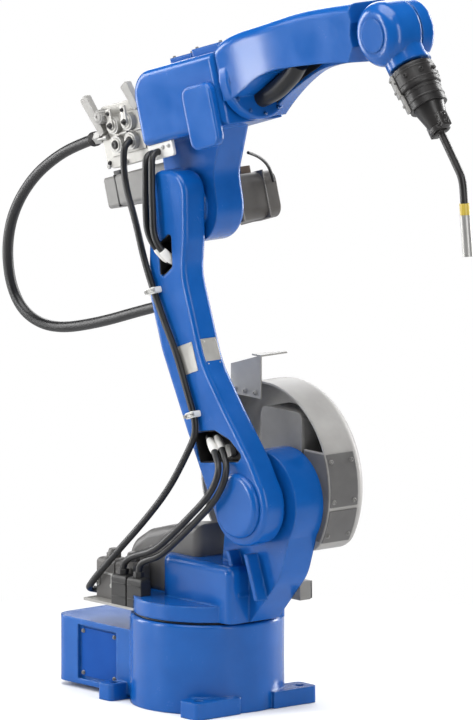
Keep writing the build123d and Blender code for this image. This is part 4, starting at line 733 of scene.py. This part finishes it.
# Torch: rings of the clutch, given by start, inner and outer radius and width, then clamp, strip and screws
CLUTCH_RINGS = ((88, 41, 42.9, 3), (112, 41, 42.9, 3), (128, 36.5, 38.2, 5), (146, 36.5, 38.2, 4),
                (208, 14, 20.5, 9))
MOUNT_RADIUS = 42
with piece("clutch_rings", "dark_metal", "torch", SHARP_TUBE) as bm:
    for start, inner, outer, width in CLUTCH_RINGS:
        collar(bm, TORCH.at(start, 0, 0), TORCH.u, inner, outer, width)
with piece("torch_clamp", "dark_metal", "torch") as bm:
    block(bm, TORCH, (186, 216), (10, 27), (-11, 11), 2)
    block(bm, TORCH, (196, 220), (-24, 10), (-9, 9), 2)
    for u in (192, 208):
        screw(bm, TORCH.at(u, 18, 11), NEAR, PANEL_SCREW)
        screw(bm, TORCH.at(u, 27, 0), TORCH.v, PANEL_SCREW)
with piece("torch_strip", "lever_grey", "torch") as bm:
    block(bm, STRIP, (82, 127), (-46.5, -41), (-9, 9), 1)
    block(bm, STRIP, (122, 161), (-42.5, -36.5), (-7, 7), 1.2)
    for u, v in ((90, -46.4), (116, -46.4), (146, -42.4)):
        screw(bm, STRIP.at(u, v, 0), -STRIP.v, PANEL_SCREW)
rows = []
for turn in range(20, 380, 45):
    v, w = polar(1, math.radians(turn))
    place = TORCH.at(100, MOUNT_RADIUS * v, MOUNT_RADIUS * w)
    rows.append((place, TORCH.v * v + NEAR * w, MOUNT_SCREW))
screws("mount_screws", "dark_metal", "torch", rows)

# Camera: view of the photo, for a picture of 473 by 720 pixels
AZIMUTH, ELEVATION = math.radians(50), math.radians(10)
PICTURE_HEIGHT, PIXELS_A_METRE = 720, 528
SPAN = PICTURE_HEIGHT / PIXELS_A_METRE
DISTANCE = 40.0
SENSOR = 36
AIM_RIGHT, AIM_UP, AIM_BACK = 0.0558, 0.6473, 0.197
LEVEL = math.cos(ELEVATION)
BACK = Vector((math.sin(AZIMUTH) * LEVEL, -math.cos(AZIMUTH) * LEVEL, math.sin(ELEVATION)))
RIGHT = Vector((math.cos(AZIMUTH), math.sin(AZIMUTH), 0))
UP = BACK.cross(RIGHT)
camera_data = bpy.data.cameras.new("camera")
camera_data.sensor_width = SENSOR
camera_data.lens = SENSOR * DISTANCE / SPAN
camera_data.clip_end = 5 * DISTANCE
camera = bpy.data.objects.new("camera", camera_data)
camera.matrix_world = Matrix((RIGHT, UP, BACK)).transposed().to_4x4()
camera.location = RIGHT * AIM_RIGHT + UP * AIM_UP + BACK * (AIM_BACK + DISTANCE)
scene.collection.objects.link(camera)
scene.camera = camera

# Lamps: place, width and height, and watts. All aim at the middle of the arm
MIDDLE = Vector((0.1, 0, 0.75))
LAMPS = {
    "top_softbox": ((0.2, -0.6, 3.4), (2.4, 2.4), 90),
    "left_strip": ((-1.35, -2.6, 1.2), (0.4, 2.4), 48),
    "left_softbox": ((-3.0, -1.3, 1.1), (1.0, 2.2), 62),
    "right_softbox": ((3.1, -0.3, 1.6), (0.6, 2.8), 36),
    "back_softbox": ((-1.9, 2.3, 1.9), (2.8, 1.9), 62),
    "rear_strip": ((0.45, 3.0, 1.3), (0.7, 2.6), 100),
}
for name, (place, size, watts) in LAMPS.items():
    data = bpy.data.lights.new(name, "AREA")
    data.shape = "RECTANGLE"
    data.size, data.size_y = size
    data.energy = watts
    obj = bpy.data.objects.new(name, data)
    obj.location = place
    obj.rotation_euler = (MIDDLE - Vector(place)).to_track_quat("-Z", "Y").to_euler()
    scene.collection.objects.link(obj)

# World and floor: white where they are seen, dimmer where they light the arm or show in its gloss
WHITE = (1, 1, 1, 1)
SKY = (0.92, 0.95, 1.0, 1)
SKY_LIGHT, SKY_GLOSS = 0.26, 0.06
FLOOR_TONES = ((0.90, 0.90, 0.90), (0.92, 0.92, 0.92))
FLOOR_GLOSS = (0.42, 0.42, 0.42)
FLOOR_BLOTCH, FLOOR_ROUGHNESS, FLOOR_SPECULAR = 4, 0.75, 0.2
FLOOR_RADIUS, FLOOR_SIDES, FLOOR_DROP = 7, 64, -0.0006
FADE_FROM, FADE_TO = 0.35, 1.1


def rays(tree):
    """1 for rays that show the backdrop itself, and 1 for rays that mirror it."""
    ray = tree.nodes.new("ShaderNodeLightPath")
    shown = combine(tree, "MAXIMUM", ray.outputs["Is Camera Ray"], ray.outputs["Is Transmission Ray"])
    return shown, ray.outputs["Is Glossy Ray"]


def make_world():
    world = bpy.data.worlds.new("studio")
    scene.world = world
    world.use_nodes = True
    tree = world.node_tree
    shown, glossy = rays(tree)
    ambient = tree.nodes["Background"]
    ambient.inputs["Color"].default_value = SKY
    link(tree, spread(tree, glossy, SKY_LIGHT, SKY_GLOSS, 0, 1), ambient.inputs["Strength"])
    plain = add(tree, "ShaderNodeBackground", Color=WHITE, Strength=1.0)
    choose(tree, shown, ambient.outputs[0], plain.outputs[0], "World Output")


def make_floor():
    """Pale floor that fades to the white of the backdrop away from the base."""
    bm = bmesh.new()
    turns = [2 * math.pi * k / FLOOR_SIDES for k in range(FLOOR_SIDES)]
    bm.faces.new([bm.verts.new((*polar(FLOOR_RADIUS, t), FLOOR_DROP)) for t in turns])
    obj = mesh_object("floor", bm)
    made = bpy.data.materials.new("floor")
    made.use_nodes = True
    tree = made.node_tree
    shown, glossy = rays(tree)
    body = tree.nodes["Principled BSDF"]
    place = tree.nodes.new("ShaderNodeTexCoord").outputs["Object"]
    pale = mix(tree, noise(tree, place, FLOOR_BLOTCH), *FLOOR_TONES)
    link(tree, mix(tree, glossy, pale, FLOOR_GLOSS), body.inputs["Base Color"])
    body.inputs["Roughness"].default_value = FLOOR_ROUGHNESS
    body.inputs["Specular IOR Level"].default_value = FLOOR_SPECULAR
    away = add(tree, "ShaderNodeVectorMath", operation="LENGTH")
    link(tree, place, away.inputs[0])
    fade = spread(tree, away.outputs["Value"], 0.0, 1.0, FADE_FROM, FADE_TO)
    white = add(tree, "ShaderNodeEmission", Color=WHITE, Strength=1.0)
    far = combine(tree, "MULTIPLY", shown, fade)
    choose(tree, far, body.outputs[0], white.outputs[0], "Material Output")
    obj.data.materials.append(made)


make_world()
make_floor()
